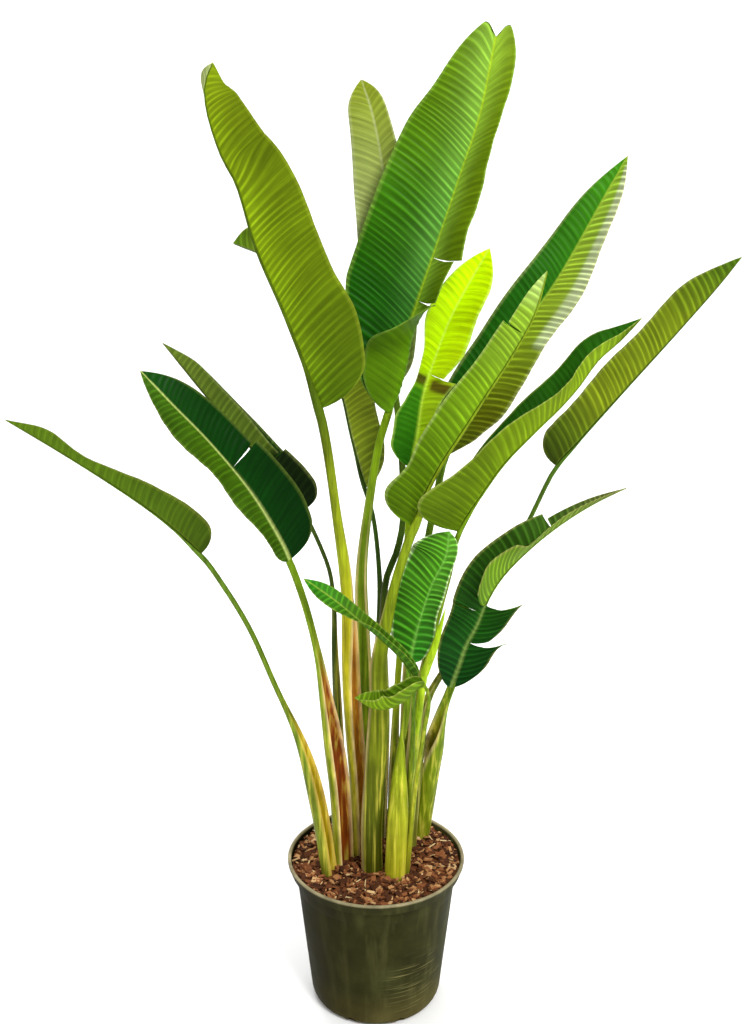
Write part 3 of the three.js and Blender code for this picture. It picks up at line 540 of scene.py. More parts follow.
def blade_tint(leaf, v):
    """The colour of each point of the blade: its side, its half, the rib's pale line and the dry margin."""
    t = v["run"]
    upper = np.where((v["half"] > 0)[:, None], colour_at(leaf.get("upper_right", leaf["upper"]), t),
                     colour_at(leaf["upper"], t))
    under = np.where((v["half"] > 0)[:, None], colour_at(leaf.get("under_right", leaf["under"]), t),
                     colour_at(leaf["under"], t))
    colour = np.where((v["under"] > 0.5)[:, None], under, upper)
    lit = leaf.get("lit", 0.3) * np.exp(-((v["dist"] / 26) ** 2)) - 0.18 * leaf.get("lit", 0.3)
    colour = colour * (1 + lit)[:, None]
    sheen = leaf.get("sheen", 0) * np.exp(-((v["dist"] / 34) ** 2))
    sheen = sheen * smooth(v["run"], 0.05, 0.5) * (1 - v["under"])
    colour = colour + (np.array(to_linear("#B4D69A")) - colour) * sheen[:, None]
    # a band paints a mark across a blade: on the young leaf it is a painted shadow, on the right rear leaf a
    # painted sheen
    for low, high, side, code, share_from in leaf.get("bands", []):
        inside = smooth(t, low - 0.012, low + 0.012) * (1 - smooth(t, high - 0.012, high + 0.012))
        inside = inside * (np.sign(v["half"]) == side) * smooth(v["share"], share_from - 0.1, share_from + 0.1)
        colour = colour + (np.array(to_linear(code)) - colour) * (0.92 * inside)[:, None]
    line_half = 1.0 + 2.2 * (1 - t)
    pale = 1 - smooth(v["dist"], line_half * 0.5, line_half * 1.5)
    rib_colour = np.array(to_linear(leaf.get("rib_colour", "#A9C22C")))
    colour = colour + (rib_colour - colour) * (pale * (0.9 - 0.5 * v["under"]))[:, None]
    from_margin = np.where(v["share"] > 0.001, v["dist"] / np.maximum(v["share"], 0.001) - v["dist"], 99)
    dry = np.clip(1 - from_margin, 0, 1) * leaf.get("margin_dry", 0.55)
    margin = np.array(to_linear(leaf.get("margin", "#8C8A34")))
    return colour + (margin - colour) * dry[:, None]


def build_stalk(leaf, line):
    """Sheath, petiole and rib as one closed loft of rings, with the colour of each of its points."""
    neck, whole = line["neck"], line["whole"]
    sheath = leaf["sheath"]
    shares = np.concatenate([np.linspace(0, neck, 44), neck + (1 - neck) * np.linspace(0.012, 0.995, 30)])
    s = smooth(shares / neck, sheath[2], sheath[3])
    half = sheath[0] + (leaf["petiole"] - sheath[0]) * s
    deep = sheath[1] + (leaf["petiole"] * 0.85 - sheath[1]) * s
    opened = sheath[4] * (1 - s)
    t = np.clip((shares - neck) / (1 - neck), 0, 1)
    if leaf.get("spear"):
        taper = np.where(shares > neck, 1.2 - 1.1 * t ** 2, 1)
        low = np.zeros_like(t)
    else:
        taper = np.where(shares > neck, 0.26 + 0.62 * (1 - smooth(t, -0.03, 0.16)) + 0.16 * (1 - t), 1)
        taper = np.where(shares > neck, np.minimum(taper, 1) * (1 - 0.6 * t), 1)
        low = smooth(shares, neck - 25 / whole, neck + 45 / whole)
    half, deep = half * taper, deep * taper
    at, along, across, outward = frames_at(leaf, line, shares)
    at = at - outward * (low * deep * 0.82)[:, None]
    reach = np.radians(140 + (118 - 140) * opened)
    rings, tints = [], []
    inner = np.array(to_linear(leaf.get("inner", "#7C8A1E")))
    cream = np.array(to_linear(leaf.get("cream", "#E6CF8E")))
    outer = colour_at(leaf["stalk_colour"], shares / neck)
    back, front = 21, 9
    for i in range(len(shares)):
        a = np.linspace(-reach[i], reach[i], back)
        x, z = np.sin(a) * half[i], -np.cos(a) * deep[i]
        wall = min(3.2, deep[i] * 0.4)
        g = np.radians(np.linspace(150, 210, front))
        c = np.radians(np.linspace(92, -92, front))
        fx = np.sin(g) * half[i] * 0.6 + (np.sin(c) * (half[i] - wall) - np.sin(g) * half[i] * 0.6) * opened[i]
        fz = -np.cos(g) * deep[i] * 0.35
        fz = fz + (-np.cos(c) * (deep[i] - wall) - fz) * opened[i]
        x, z = np.concatenate([x, fx]), np.concatenate([z, fz])
        rings.append(at[i] + np.outer(x, across[i]) + np.outer(z, outward[i]))
        tint = np.tile(outer[i], (back + front, 1))
        stripe = 0.07 * np.sin(a * 17 + leaf["seed"]) + 0.05 * np.sin(a * 31 + 2 * leaf["seed"])
        tint[:back] *= (1 + stripe)[:, None]
        wide_open = min(1, opened[i] / 0.3)
        for k in (0, back - 1):
            tint[k] += (cream - tint[k]) * wide_open
        for k in (1, back - 2):
            tint[k] += (cream - tint[k]) * 0.45 * wide_open
        tint[back:] += (inner - tint[back:]) * min(1, opened[i] / 0.25)
        tints.append(tint)
    n = back + front
    faces = []
    for r in range(len(rings) - 1):
        for k in range(n):
            a, b = r * n + k, r * n + (k + 1) % n
            faces.append([a, a + n, b + n, b])
    last = (len(rings) - 1) * n
    faces.append(list(range(n)))
    faces.append([last + k for k in reversed(range(n))])
    return np.vstack(rings), faces, np.vstack(tints), np.repeat(shares * whole, n)


def leaf_material(name, stripe, gloss, behind):
    """Living leaf: waxy cuticle over green tissue, glossier above than below, that lets some light through."""
    material, tree = new_material(name)
    tint = add_node(tree, "Attribute", {"attribute_name": "tint"}).outputs["Color"]
    ridge = add_node(tree, "Attribute", {"attribute_name": "ridge"}).outputs["Fac"]
    under = add_node(tree, "Attribute", {"attribute_name": "under"}).outputs["Fac"]
    uv = add_node(tree, "UVMap", {"uv_map": "veins"}).outputs["UV"]
    place = add_node(tree, "TexCoord").outputs["Object"]
    # a pleat each 10.5 mm of the map, as in the mesh: a narrow light crest and a broad darker fold, never alike
    # the light crests are partly the veins' own paler colour and partly painted highlight; the darker folds are
    # painted shade
    along = add_node(tree, "SeparateXYZ", Vector=uv).outputs["X"]
    beat = maths(tree, "MULTIPLY", along, 2 * math.pi / (PLEAT / 1000))
    crest = maths(tree, "SINE", beat)
    crest = spread(tree, crest, -1.0, 1.0, 0.0, 1.0)
    crest = maths(tree, "POWER", crest, 3.0)
    crest = spread(tree, crest, 0.0, 1.0, -0.55, 1.7)
    broad = stretched(tree, uv, (75.0, 12.0, 1.0))
    broad = noise(tree, broad, 1.0, 1.0)
    broad = spread(tree, broad, 0.3, 0.7, 0.35, 1.5)
    crest = maths(tree, "MULTIPLY", crest, broad)
    # fine side veins lie 2.4 mm apart, and run from the rib to the margin
    fine = add_node(tree, "TexWave", Vector=uv, Scale=131.0, Distortion=1.6, Detail=2.0, Detail_Scale=0.6)
    veins = stretched(tree, uv, (170.0, 9.0, 1.0))
    veins = noise(tree, veins, 1.0, 4.0, 0.6)
    mottle = noise(tree, place, 17.0, 4.0)
    power = maths(tree, "MULTIPLY", crest, ridge)
    light = maths(tree, "MULTIPLY_ADD", power, stripe, 1.0)
    streak = spread(tree, veins, 0.25, 0.75, 0.72, 1.3)
    light = maths(tree, "MULTIPLY", light, streak)
    thin = spread(tree, fine.outputs["Fac"], 0.0, 1.0, 0.95, 1.05)
    light = maths(tree, "MULTIPLY", light, thin)
    patchy = spread(tree, mottle, 0.3, 0.7, 0.88, 1.12)
    light = maths(tree, "MULTIPLY", light, patchy)
    colour = add_node(tree, "VectorMath", {"operation": "SCALE"}, i0=tint, Scale=light).outputs[0]
    rough = spread(tree, under, 0.0, 1.0, gloss, gloss + 0.2)
    relief = maths(tree, "MULTIPLY_ADD", power, 0.5, veins)
    bump = add_node(tree, "Bump", Strength=0.4, Distance=0.0008, Height=relief)
    surface = add_node(tree, "BsdfPrincipled", Base_Color=colour, Roughness=rough, IOR=1.42,
                       Specular_IOR_Level=0.05, Normal=bump.outputs["Normal"])
    through = add_node(tree, "VectorMath", {"operation": "MULTIPLY"}, i0=colour, i1=(1.5, 1.35, 0.5))
    glow = add_node(tree, "BsdfTranslucent", Color=through.outputs[0])
    both = add_node(tree, "MixShader", i0=behind, i1=surface.outputs["BSDF"], i2=glow.outputs["BSDF"])
    add_node(tree, "OutputMaterial", Surface=both.outputs["Shader"])
    return material


def stalk_material():
    """Petiole and sheath: smooth, firm and satin; fibres 2 to 3 mm apart run along them, yellower low down."""
    material, tree = new_material("leaf_stalk")
    tint = add_node(tree, "Attribute", {"attribute_name": "tint"}).outputs["Color"]
    place = add_node(tree, "TexCoord").outputs["Object"]
    height = add_node(tree, "SeparateXYZ", Vector=place).outputs["Z"]
    drawn = stretched(tree, place, (420.0, 420.0, 14.0))
    fibres = noise(tree, drawn, 1.0, 3.0)
    broad = stretched(tree, place, (150.0, 150.0, 5.0))
    broad = noise(tree, broad, 1.0, 3.0)
    mottle = noise(tree, place, 26.0, 5.0)
    light = spread(tree, fibres, 0.25, 0.75, 0.78, 1.2)
    patchy = spread(tree, mottle, 0.3, 0.7, 0.8, 1.15)
    shade = spread(tree, broad, 0.3, 0.55, 0.62, 1.05)
    light = maths(tree, "MULTIPLY", light, patchy)
    light = maths(tree, "MULTIPLY", light, shade)
    low = spread(tree, height, 0.42, 0.8, 0.6, 0.0)
    pale = spread(tree, broad, 0.52, 0.68, 0.0, 1.0)
    pale = maths(tree, "MULTIPLY", pale, low)
    streaked = mix_in(tree, pale, tint, "#D8CC4E")
    colour = add_node(tree, "VectorMath", {"operation": "SCALE"}, i0=streaked, Scale=light).outputs[0]
    bump = add_node(tree, "Bump", Strength=0.2, Distance=0.0004, Height=fibres)
    surface = add_node(tree, "BsdfPrincipled", Base_Color=colour, Roughness=0.42, IOR=1.42,
                       Specular_IOR_Level=0.08, Normal=bump.outputs["Normal"])
    add_node(tree, "OutputMaterial", Surface=surface.outputs["BSDF"])
    return material


STALK_TISSUE = stalk_material()
UPPER_SIDE = leaf_material("leaf_upper_side_out", stripe=0.40, gloss=0.36, behind=0.14)
UNDER_SIDE = leaf_material("leaf_underside_out", stripe=0.28, gloss=0.40, behind=0.18)


def make_leaf(**leaf):
    """Builds one leaf in metres, paints it and lets it stand for its node."""
    line = leaf_line(leaf["stalk"], leaf["rib"])
    points, faces, tints, run = build_stalk(leaf, line)
    stalk_faces = len(faces)
    base = len(points)
    ridge, under = np.zeros(base), np.full(base, 0.5)
    uv = np.stack([run / 1000, np.zeros(base)], 1)
    if not leaf.get("spear"):
        sheet, sheet_faces, v, length = build_blade(leaf, line)
        points = np.vstack([points, sheet])
        faces = faces + [[k + base for k in f] for f in sheet_faces]
        tints = np.vstack([tints, blade_tint(leaf, v)])
        ridge = np.concatenate([ridge, v["ridge"]])
        under = np.concatenate([under, v["under"]])
        uv = np.vstack([uv, np.stack([PLEAT * v["beat"], v["dist"] * v["half"]], 1) / 1000])
    mesh = bpy.data.meshes.new(leaf["name"])
    mesh.from_pydata((points / 1000).tolist(), [], faces)
    mesh.attributes.new("ridge", "FLOAT", "POINT").data.foreach_set("value", ridge)
    mesh.attributes.new("under", "FLOAT", "POINT").data.foreach_set("value", under)
    rgba = np.hstack([np.clip(tints, 0, 1), np.ones((len(tints), 1))])
    mesh.attributes.new("tint", "FLOAT_COLOR", "POINT").data.foreach_set("color", rgba.ravel())
    corners = np.zeros(len(mesh.loops), np.int32)
    mesh.loops.foreach_get("vertex_index", corners)
    mesh.uv_layers.new(name="veins").data.foreach_set("uv", uv[corners].astype(np.float32).ravel())
    mesh.materials.append(STALK_TISSUE)
    mesh.materials.append(leaf.get("material", UNDER_SIDE))
    index = np.ones(len(faces), np.int32)
    index[:stalk_faces] = 0
    mesh.polygons.foreach_set("material_index", index)
    mesh.polygons.foreach_set("use_smooth", np.ones(len(faces), bool))
    mesh.update()
    piece = bpy.data.objects.new(leaf["name"], mesh)
    bpy.context.scene.collection.objects.link(piece)
    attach(piece, "root")
    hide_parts(leaf["node"])


# Upper left leaf: tall, its underside toward the viewer, the far half folded to a pale strip; yellow sheath
# wing.
make_leaf(
    name="upper_left_leaf", node="leaf_upper_left", slot="leaf_olive", seed=1.1, material=UNDER_SIDE,
    stalk=[(-26, 19, 258), (-29, 10, 396), (-36, -4, 514), (-40, -14, 600), (-44, -25, 756), (-60, -38, 890),
        (-86, -56, 1076)],
    rib=[(-130, -74, 1214), (-171, -88, 1319), (-196, -98, 1411), (-214, -100, 1446), (-232, -103, 1508),
        (-233, -104, 1541), (-221, -105, 1570)], opens=(0.75, -0.5, 0),
    face=[(0.35, 0.9, 0.25), (0.3, 0.9, 0.3)], sheath=(17, 15, 0.5, 0.85, 0.7), petiole=7.5, tip_from=0.86,
    left=[(0, 75, 8, 0), (0.12, 94, 8, 6), (0.24, 103, 8, 6), (0.34, 97, 8, 4), (0.45, 94, 10, 2),
        (0.6, 88, 10, 0), (0.75, 72, 10, 0), (0.9, 46, 12, 0), (1, 30, 12, 0)],
    right=[(0, 60, 72, 0), (0.25, 85, 76, 4), (0.6, 80, 78, 0), (1, 44, 60, 0)], stripe=1.35, fade=0.8,
    lean=0.4, upper=[(0, "#2F5A12"), (1, "#4F7F16")], under=[(0, "#4A640A"), (0.45, "#6C840C"), (1, "#66780C")],
    under_right=[(0, "#8A9C4C"), (1, "#A2B068")],
    stalk_colour=[(0, "#A89C20"), (0.35, "#A8A420"), (0.55, "#C4BA1E"), (0.72, "#98A41C"), (1, "#4A600C")],
    rib_colour="#A9C22C", lit=0.55, inner="#B4781E", cream="#E8C88A", margin="#8C9A2C")

# Top centre leaf: the tallest, upper side toward the viewer; the right half is curled over at its base and
# torn. The right half's upper side is painted a lighter olive than the left half's, as a painted sheen.
make_leaf(
    name="top_centre_leaf", node="leaf_top_centre", slot="leaf_green", seed=2.3, material=UPPER_SIDE,
    stalk=[(-14, 49, 258), (-16, 41, 475), (-22, 38, 660), (-24, 38, 780), (-13, 42, 885), (6, 50, 1000),
        (19, 55, 1044)],
    rib=[(43, 62, 1150), (66, 67, 1223), (95, 73, 1310), (127, 79, 1407), (155, 82, 1495), (176, 84, 1606)],
    opens=(0, -1, 0), face=[(-0.25, -0.93, 0.25), (-0.15, -0.95, 0.25)], sheath=(13, 10, 0.45, 0.9, 0.5),
    petiole=6.5, fork=30, tip_from=0.86, hinge=(0.08, 0.42),
    left=[(0, 44, 25, 0), (0.1, 66, 22, 0), (0.2, 98, 16, 2), (0.3, 118, 14, 4), (0.5, 115, 12, 4),
        (0.7, 104, 12, 0), (0.85, 76, 12, 0), (1, 38, 12, 0)],
    right=[(0, 66, 30, 140), (0.07, 88, 18, 165), (0.14, 97, 18, 162), (0.22, 84, 38, 76), (0.31, 100, 44, 24),
        (0.31, 80, 52, 10), (0.43, 84, 54, 0), (0.43, 102, 52, 0), (0.52, 92, 57, 0), (0.65, 84, 57, 0),
        (0.8, 68, 52, 0), (1, 48, 42, 0)], stripe=0.95, calm=1, lean=0.3, sheen=0.12,
    upper=[(0, "#114608"), (0.3, "#1E5C08"), (0.55, "#3E780C"), (0.8, "#5C850E"), (1, "#66880C")],
    upper_right=[(0, "#4A8010"), (0.4, "#74940E"), (1, "#84A410")],
    under=[(0, "#5C860E"), (0.3, "#5C860E"), (0.5, "#4C6E12"), (1, "#587818")],
    stalk_colour=[(0, "#8A9A1E"), (0.5, "#6F8A18"), (1, "#7A9A14")], rib_colour="#B2D024", lit=0.8,
    inner="#6E8A1A", margin="#8FB24A")

# Young leaf: yellow-green and thin, its right half torn. Its upper part is painted bright, partly its own young
# colour and partly painted sunlight shining through it; its lower left part is painted dark as shade, and a band
# of painted shadow crosses it below the middle.
make_leaf(
    name="young_bright_leaf", node="leaf_young_bright", slot="leaf_bright", seed=3.7, material=UNDER_SIDE,
    stalk=[(29, 84, 258), (35, 56, 536), (46, 50, 725), (52, 42, 851), (57, 32, 960)],
    rib=[(66, 29, 1020), (74, 28, 1080), (92, 27, 1140), (114, 26, 1200), (142, 25, 1255), (170, 22, 1306)],
    opens=(0, -1, 0), face=[(-0.2, -0.9, 0.3), (-0.3, -0.85, 0.3)], sheath=(9, 8, 0.2, 0.5, 0.3), petiole=5.5,
    left=[(0, 30, 30, 0), (0.1, 42, 30, 0), (0.2, 42, 30, 0), (0.3, 26, 30, 0), (0.38, 18, 30, 0),
        (0.5, 22, 30, 0), (0.65, 38, 30, 0), (1, 24, 20, 0)],
    right=[(0, 20, 35, 0), (0.2, 26, 35, 0), (0.42, 54, 20, 0), (0.42, 34, 30, 0), (0.55, 53, 30, 0),
        (0.8, 54, 30, 0), (1, 38, 20, 0)], stripe=0.35,
    upper=[(0, "#2A6A10"), (0.34, "#3A7A10"), (0.44, "#A8CC06"), (1, "#C2E604")],
    upper_right=[(0, "#9CC016"), (0.34, "#A8C818"), (0.44, "#BEDC06"), (1, "#C6E604")],
    under=[(0, "#8FB818"), (0.5, "#B4E40A"), (1, "#BCEA08")],
    stalk_colour=[(0, "#9AA822"), (0.6, "#8AA018"), (1, "#A4C418")], rib_colour="#D2F24A", lit=0.2,
    bands=[(0.355, 0.405, 1, "#5A4A14", 0.15), (0.37, 0.41, -1, "#4E4A14", 0.1)], margin="#C6E868")

# Right rear leaf: long, its upper side toward the viewer; one half is painted dark as shade and the lower one
# pale and yellow as sunlit, with a pale band of painted sheen toward its margin; it is strongly striped.
make_leaf(
    name="right_rear_leaf", node="leaf_right_rear", slot="leaf_green", seed=4.9, material=UPPER_SIDE,
    stalk=[(48, 64, 258), (53, 69, 505), (57, 69, 615), (69, 71, 723), (83, 73, 809), (99, 76, 900),
        (113, 78, 967)],
    rib=[(141, 82, 1017), (176, 86, 1080), (207, 90, 1127), (240, 95, 1181), (286, 102, 1249), (347, 112, 1360),
        (387, 120, 1434)], opens=(-0.5, -0.8, 0), face=[(-0.45, -0.75, 0.5), (-0.5, -0.7, 0.5)],
    sheath=(11, 9, 0.4, 0.8, 0.4), petiole=6,
    left=[(0, 46, 35, 0), (0.2, 56, 35, 0), (0.5, 54, 35, 0), (0.75, 40, 30, 0), (1, 22, 25, 0)],
    right=[(0, 20, 12, 0), (0.1, 44, 12, 0), (0.2, 64, 12, 4), (0.5, 63, 12, 4), (0.75, 50, 15, 0),
        (1, 34, 20, 0)], stripe=1.05, fade=0, calm=-1, lean=0.3,
    upper=[(0, "#1A4E0E"), (0.5, "#1F5A0E"), (1, "#3A7A12")],
    upper_right=[(0, "#4A5612"), (0.15, "#686E10"), (0.35, "#7C8E1C"), (0.6, "#8AA22C"), (0.85, "#8CAA34"),
        (1, "#7EA028")], under=[(0, "#5A7A18"), (1, "#7A9A20")],
    stalk_colour=[(0, "#8A961E"), (0.5, "#6A8418"), (1, "#5A7A18")], rib_colour="#9CB83A", lit=0.3,
    bands=[(0.4, 0.97, 1, "#B4BE94", 0.62)], margin="#A8B070")

# Right folded leaf: folded along its rib, the underside of the near half toward the viewer; broad yellow
# sheath.
make_leaf(
    name="right_folded_leaf", node="leaf_right_folded", slot="leaf_olive", seed=5.3, material=UNDER_SIDE,
    stalk=[(-7, -31, 258), (-9, -32, 345), (-2, -35, 470), (4, -37, 584), (4, -42, 660), (18, -48, 740),
        (32, -52, 806), (57, -57, 892)],
    rib=[(72, -60, 940), (98, -64, 995), (128, -68, 1045), (161, -72, 1101), (196, -78, 1160), (228, -84, 1225),
        (243, -88, 1288)], opens=(-0.9, 0.5, 0), face=[(-0.75, 0.15, 0.6), (-0.8, 0.2, 0.5)],
    sheath=(18, 20, 0.42, 0.9, 0.75), petiole=9.5,
    left=[(0, 30, 84, 0), (0.3, 40, 86, 0), (0.7, 30, 86, 0), (1, 16, 80, 0)],
    right=[(0, 56, 68, 0), (0.08, 60, 69, 2), (0.19, 46, 70, 4), (0.3, 51, 70, 2), (0.4, 51, 70, 0),
        (0.6, 44, 72, 0), (0.78, 38, 72, 0), (0.78, 30, 72, 0), (0.9, 30, 72, 0), (1, 26, 70, 0)], stripe=1.2,
    fade=0.3, upper=[(0, "#2F6A12"), (1, "#3F7A18")],
    under=[(0, "#446006"), (0.25, "#587A0C"), (0.55, "#6C9014"), (0.85, "#82A42C"), (1, "#A4BC6C")],
    stalk_colour=[(0, "#42420A"), (0.2, "#484E0A"), (0.5, "#727E12"), (1, "#7E9418")], rib_colour="#A4C63A",
    lit=0.25, inner="#B8A426", cream="#E6CF8E", margin="#B4C870")

# Right middle leaf: broad and folded, with a wide lobe at its base; the far half shows its green upper
# side.
make_leaf(
    name="right_middle_leaf", node="leaf_right_middle", slot="leaf_olive", seed=6.1, material=UNDER_SIDE,
    stalk=[(48, 18, 258), (62, 14, 454), (72, 10, 566), (86, 4, 656), (103, -2, 730), (117, -9, 795),
        (131, -20, 872)],
    rib=[(166, -42, 944), (196, -50, 992), (243, -46, 1042), (278, -38, 1075), (306, -26, 1104),
        (335, -20, 1144), (368, -14, 1173), (399, -8, 1206)], opens=(-0.6, -0.5, 0),
    face=[(-0.7, -0.05, 0.65), (-0.6, 0, 0.8)], sheath=(12, 10, 0.35, 0.85, 0.4), petiole=5.5,
    left=[(0, 30, 76, 0), (0.3, 46, 58, 0), (0.5, 50, 50, 0), (0.8, 42, 50, 0), (1, 24, 45, 0)],
    right=[(0, 102, 44, 18), (0.1, 104, 48, 14), (0.2, 80, 56, 4), (0.3, 60, 58, 0), (0.42, 52, 55, 0),
        (0.6, 46, 44, 0), (0.8, 38, 38, 0), (1, 22, 40, 0)], stripe=0.9, calm=-1,
    upper=[(0, "#143E06"), (1, "#265C0C")],
    under=[(0, "#54700C"), (0.3, "#66820F"), (0.6, "#7C9814"), (1, "#7E9E22")],
    stalk_colour=[(0, "#8A9A1C"), (0.5, "#728E16"), (1, "#6A8A14")], rib_colour="#9CB82C", lit=0.25,
    margin="#A9B45A")

# Far right leaf: folded, on a long slanting stalk; its underside is striped, dark at the base and the tip.
make_leaf(
    name="far_right_leaf", node="leaf_far_right", slot="leaf_olive", seed=7.9, material=UNDER_SIDE,
    stalk=[(60, 40, 258), (65, 42, 347), (75, 50, 453), (88, 52, 541), (118, 52, 602), (171, 50, 709),
        (205, 46, 781), (243, 38, 860), (286, 24, 965)],
    rib=[(316, 16, 1006), (382, 2, 1093), (444, -14, 1175), (504, -30, 1257), (533, -38, 1301)],
    opens=(-0.8, -0.3, 0), face=[(-0.7, 0, 0.7), (-0.7, 0.1, 0.7)], sheath=(12, 11, 0.2, 0.6, 0.4), petiole=4.5,
    left=[(0, 30, 84, 0), (0.4, 44, 84, 0), (0.75, 38, 84, 0), (1, 20, 75, 0)],
    right=[(0, 56, 66, 0), (0.15, 60, 68, 0), (0.4, 56, 68, 0), (0.6, 54, 68, 0), (0.78, 48, 68, 0),
        (1, 32, 66, 0)], stripe=1.3, fade=0, lean=0.35, upper=[(0, "#2A5212"), (1, "#386A14")],
    under=[(0, "#2C3A0A"), (0.14, "#4C600E"), (0.3, "#6C7C14"), (0.7, "#6A7C14"), (1, "#3E5E10")],
    stalk_colour=[(0, "#7E7C28"), (0.35, "#6A7424"), (1, "#4A6A1C")], rib_colour="#8FA83A", lit=0.25,
    margin="#8C9448")

# Lower right leaf: dark, torn and drooping, with lobes that turn their undersides out.
make_leaf(
    name="lower_right_leaf", node="leaf_lower_right", slot="leaf_deep", seed=8.4, material=UPPER_SIDE,
    stalk=[(77, 80, 258), (86, 72, 338), (97, 61, 430), (112, 44, 520), (126, 34, 572)],
    rib=[(139, 28, 616), (149, 22, 653), (166, 14, 695), (182, 6, 745), (204, 0, 787), (245, -6, 836),
        (291, -10, 878), (342, -13, 914), (392, -15, 941)], opens=(-0.85, 0.4, 0),
    face=[(-0.1, -0.9, 0.4), (-0.6, -0.1, 0.78)], sheath=(18, 19, 0.6, 0.98, 0.4), petiole=7, sweep_right=0.7,
    left=[(0, 26, 30, 0), (0.15, 46, 30, 0), (0.33, 52, 42, 0), (0.33, 54, 46, 0), (0.45, 58, 50, 0),
        (0.6, 46, 55, 0), (0.72, 30, 50, 0), (0.72, 20, 50, 0), (0.85, 14, 50, 0), (1, 8, 50, 0)],
    right=[(0, 34, 10, 0), (0.2, 58, 6, 0), (0.2, 30, 4, 0), (0.36, 62, 0, 0), (0.36, 54, 80, 0),
        (0.44, 66, 80, 0), (0.54, 60, 72, 0), (0.6, 30, 60, 0), (0.75, 22, 55, 0), (1, 8, 50, 0)],
    upper=[(0, "#0F3A12"), (0.3, "#1A4A10"), (0.7, "#3A5E18"), (1, "#5A5A30")],
    under=[(0, "#4E7A14"), (0.5, "#6A8F16"), (1, "#5F6A30")],
    stalk_colour=[(0, "#7C8418"), (0.5, "#768A14"), (1, "#6A8A18")], rib_colour="#7E9A4A", lit=0.35,
    inner="#8A8420", margin="#9C9A58")

# Inner low leaf: short and dark, with pale veins and a pleated right edge.
make_leaf(
    name="inner_low_leaf", node="leaf_inner_low", slot="leaf_deep", seed=9.2, material=UPPER_SIDE,
    stalk=[(32, -48, 258), (37, -44, 384), (41, -36, 492), (49, -35, 556), (56, -32, 650)],
    rib=[(63, -31, 690), (72, -30, 728), (89, -28, 783), (110, -26, 830), (115, -25, 872)], opens=(0.3, 0.9, 0),
    face=[(0.1, -0.92, 0.35), (0.1, -0.92, 0.35)], sheath=(18, 14, 0.35, 0.75, 0.6), petiole=6, tip_from=0.82,
    left=[(0, 28, 6, 0), (0.25, 46, 4, 0), (0.5, 54, 2, 0), (0.75, 56, 0, 0), (1, 50, 0, 0)],
    right=[(0, 24, 50, 0), (0.25, 40, 55, 0), (0.6, 34, 58, 0), (0.85, 22, 50, 0), (1, 20, 40, 0)], stripe=1.5,
    fade=0, upper=[(0, "#2C6612"), (0.5, "#3C7416"), (1, "#467C1C")],
    upper_right=[(0, "#2F7A20"), (1, "#5F9A30")], under=[(0, "#3F7A1C"), (1, "#5A8A24")],
    stalk_colour=[(0, "#B0AA24"), (0.3, "#A4A622"), (0.65, "#8A9E1C"), (1, "#5A8A1A")], rib_colour="#7AB84A",
    lit=0.5, inner="#6A6A1A", margin="#CFE4A8", margin_dry=0.7)

# Spear: the newest leaf, still rolled up tight.
make_leaf(
    name="spear_leaf", node="leaf_spear", slot="leaf_bright", seed=1.9, spear=True, material=UNDER_SIDE,
    stalk=[(35, -16, 258), (50, -14, 360), (62, -26, 476), (67, -38, 540), (72, -48, 590), (77, -55, 638)],
    rib=[(92, -64, 690), (108, -76, 762)], opens=(0, 1, 0), face=[(0, 1, 0), (0, 1, 0)],
    sheath=(6, 5.5, 0.2, 0.6, 0), petiole=6,
    stalk_colour=[(0, "#8C9420"), (0.6, "#86A018"), (1, "#A0C41C")])

# Small crossing leaf: narrow, it reaches to the left in front of the stalks.
make_leaf(
    name="small_crossing_leaf", node="leaf_small_crossing", slot="leaf_green", seed=2.8, material=UPPER_SIDE,
    stalk=[(45, -26, 258), (55, -27, 360), (59, -42, 476), (60, -56, 540), (60, -68, 598), (60, -86, 645)],
    rib=[(40, -96, 684), (10, -100, 718), (-26, -101, 751), (-64, -99, 785), (-112, -95, 820)], opens=(0, 1, 0),
    face=[(0.3, -0.4, 0.85), (0.35, -0.55, 0.7)], sheath=(5, 5, 0.2, 0.5, 0.2), petiole=4,
    left=[(0, 14, 80, 0), (0.4, 16, 75, 0), (0.6, 22, 40, 0), (0.85, 24, 15, 0), (1, 16, 10, 0)],
    right=[(0, 14, 70, 0), (0.4, 16, 60, 0), (0.6, 16, 35, 0), (0.85, 16, 15, 0), (1, 12, 10, 0)],
    upper=[(0, "#2F6A14"), (0.5, "#4A6A14"), (1, "#2A7A18")], under=[(0, "#3F6A18"), (1, "#4A7A1C")],
    stalk_colour=[(0, "#9AA022"), (0.5, "#7A8E1A"), (1, "#4A7A18")], rib_colour="#8AA83A", lit=0.2,
    margin="#8A9A3A")

# Small curled leaf: the smallest, cupped like a spoon on a slender stalk.
make_leaf(
    name="small_curled_leaf", node="leaf_small_curled", slot="leaf_green", seed=3.1, material=UPPER_SIDE,
    stalk=[(52, -40, 258), (60, -43, 360), (67, -56, 450), (76, -76, 540), (83, -96, 615), (74, -108, 646)],
    rib=[(50, -116, 628), (22, -120, 612), (-6, -120, 612), (-34, -116, 628)], opens=(0, 1, 0),
    face=[(0.1, -0.2, 0.95), (0.2, -0.3, 0.9)], sheath=(5, 5, 0.2, 0.5, 0.2), petiole=3.5,
    left=[(0, 26, 62, 20), (0.4, 36, 66, 24), (0.7, 32, 60, 20), (1, 20, 40, 0)],
    right=[(0, 26, 62, 10), (0.4, 34, 62, 16), (0.7, 30, 58, 10), (1, 20, 40, 0)],
    upper=[(0, "#4A6E12"), (1, "#6A8A18")], under=[(0, "#5A7A12"), (1, "#7A9A1A")],
    stalk_colour=[(0, "#A8A428"), (0.5, "#8E9A1E"), (1, "#6A8A18")], rib_colour="#9AB43A", lit=0.2,
    margin="#A0A850")

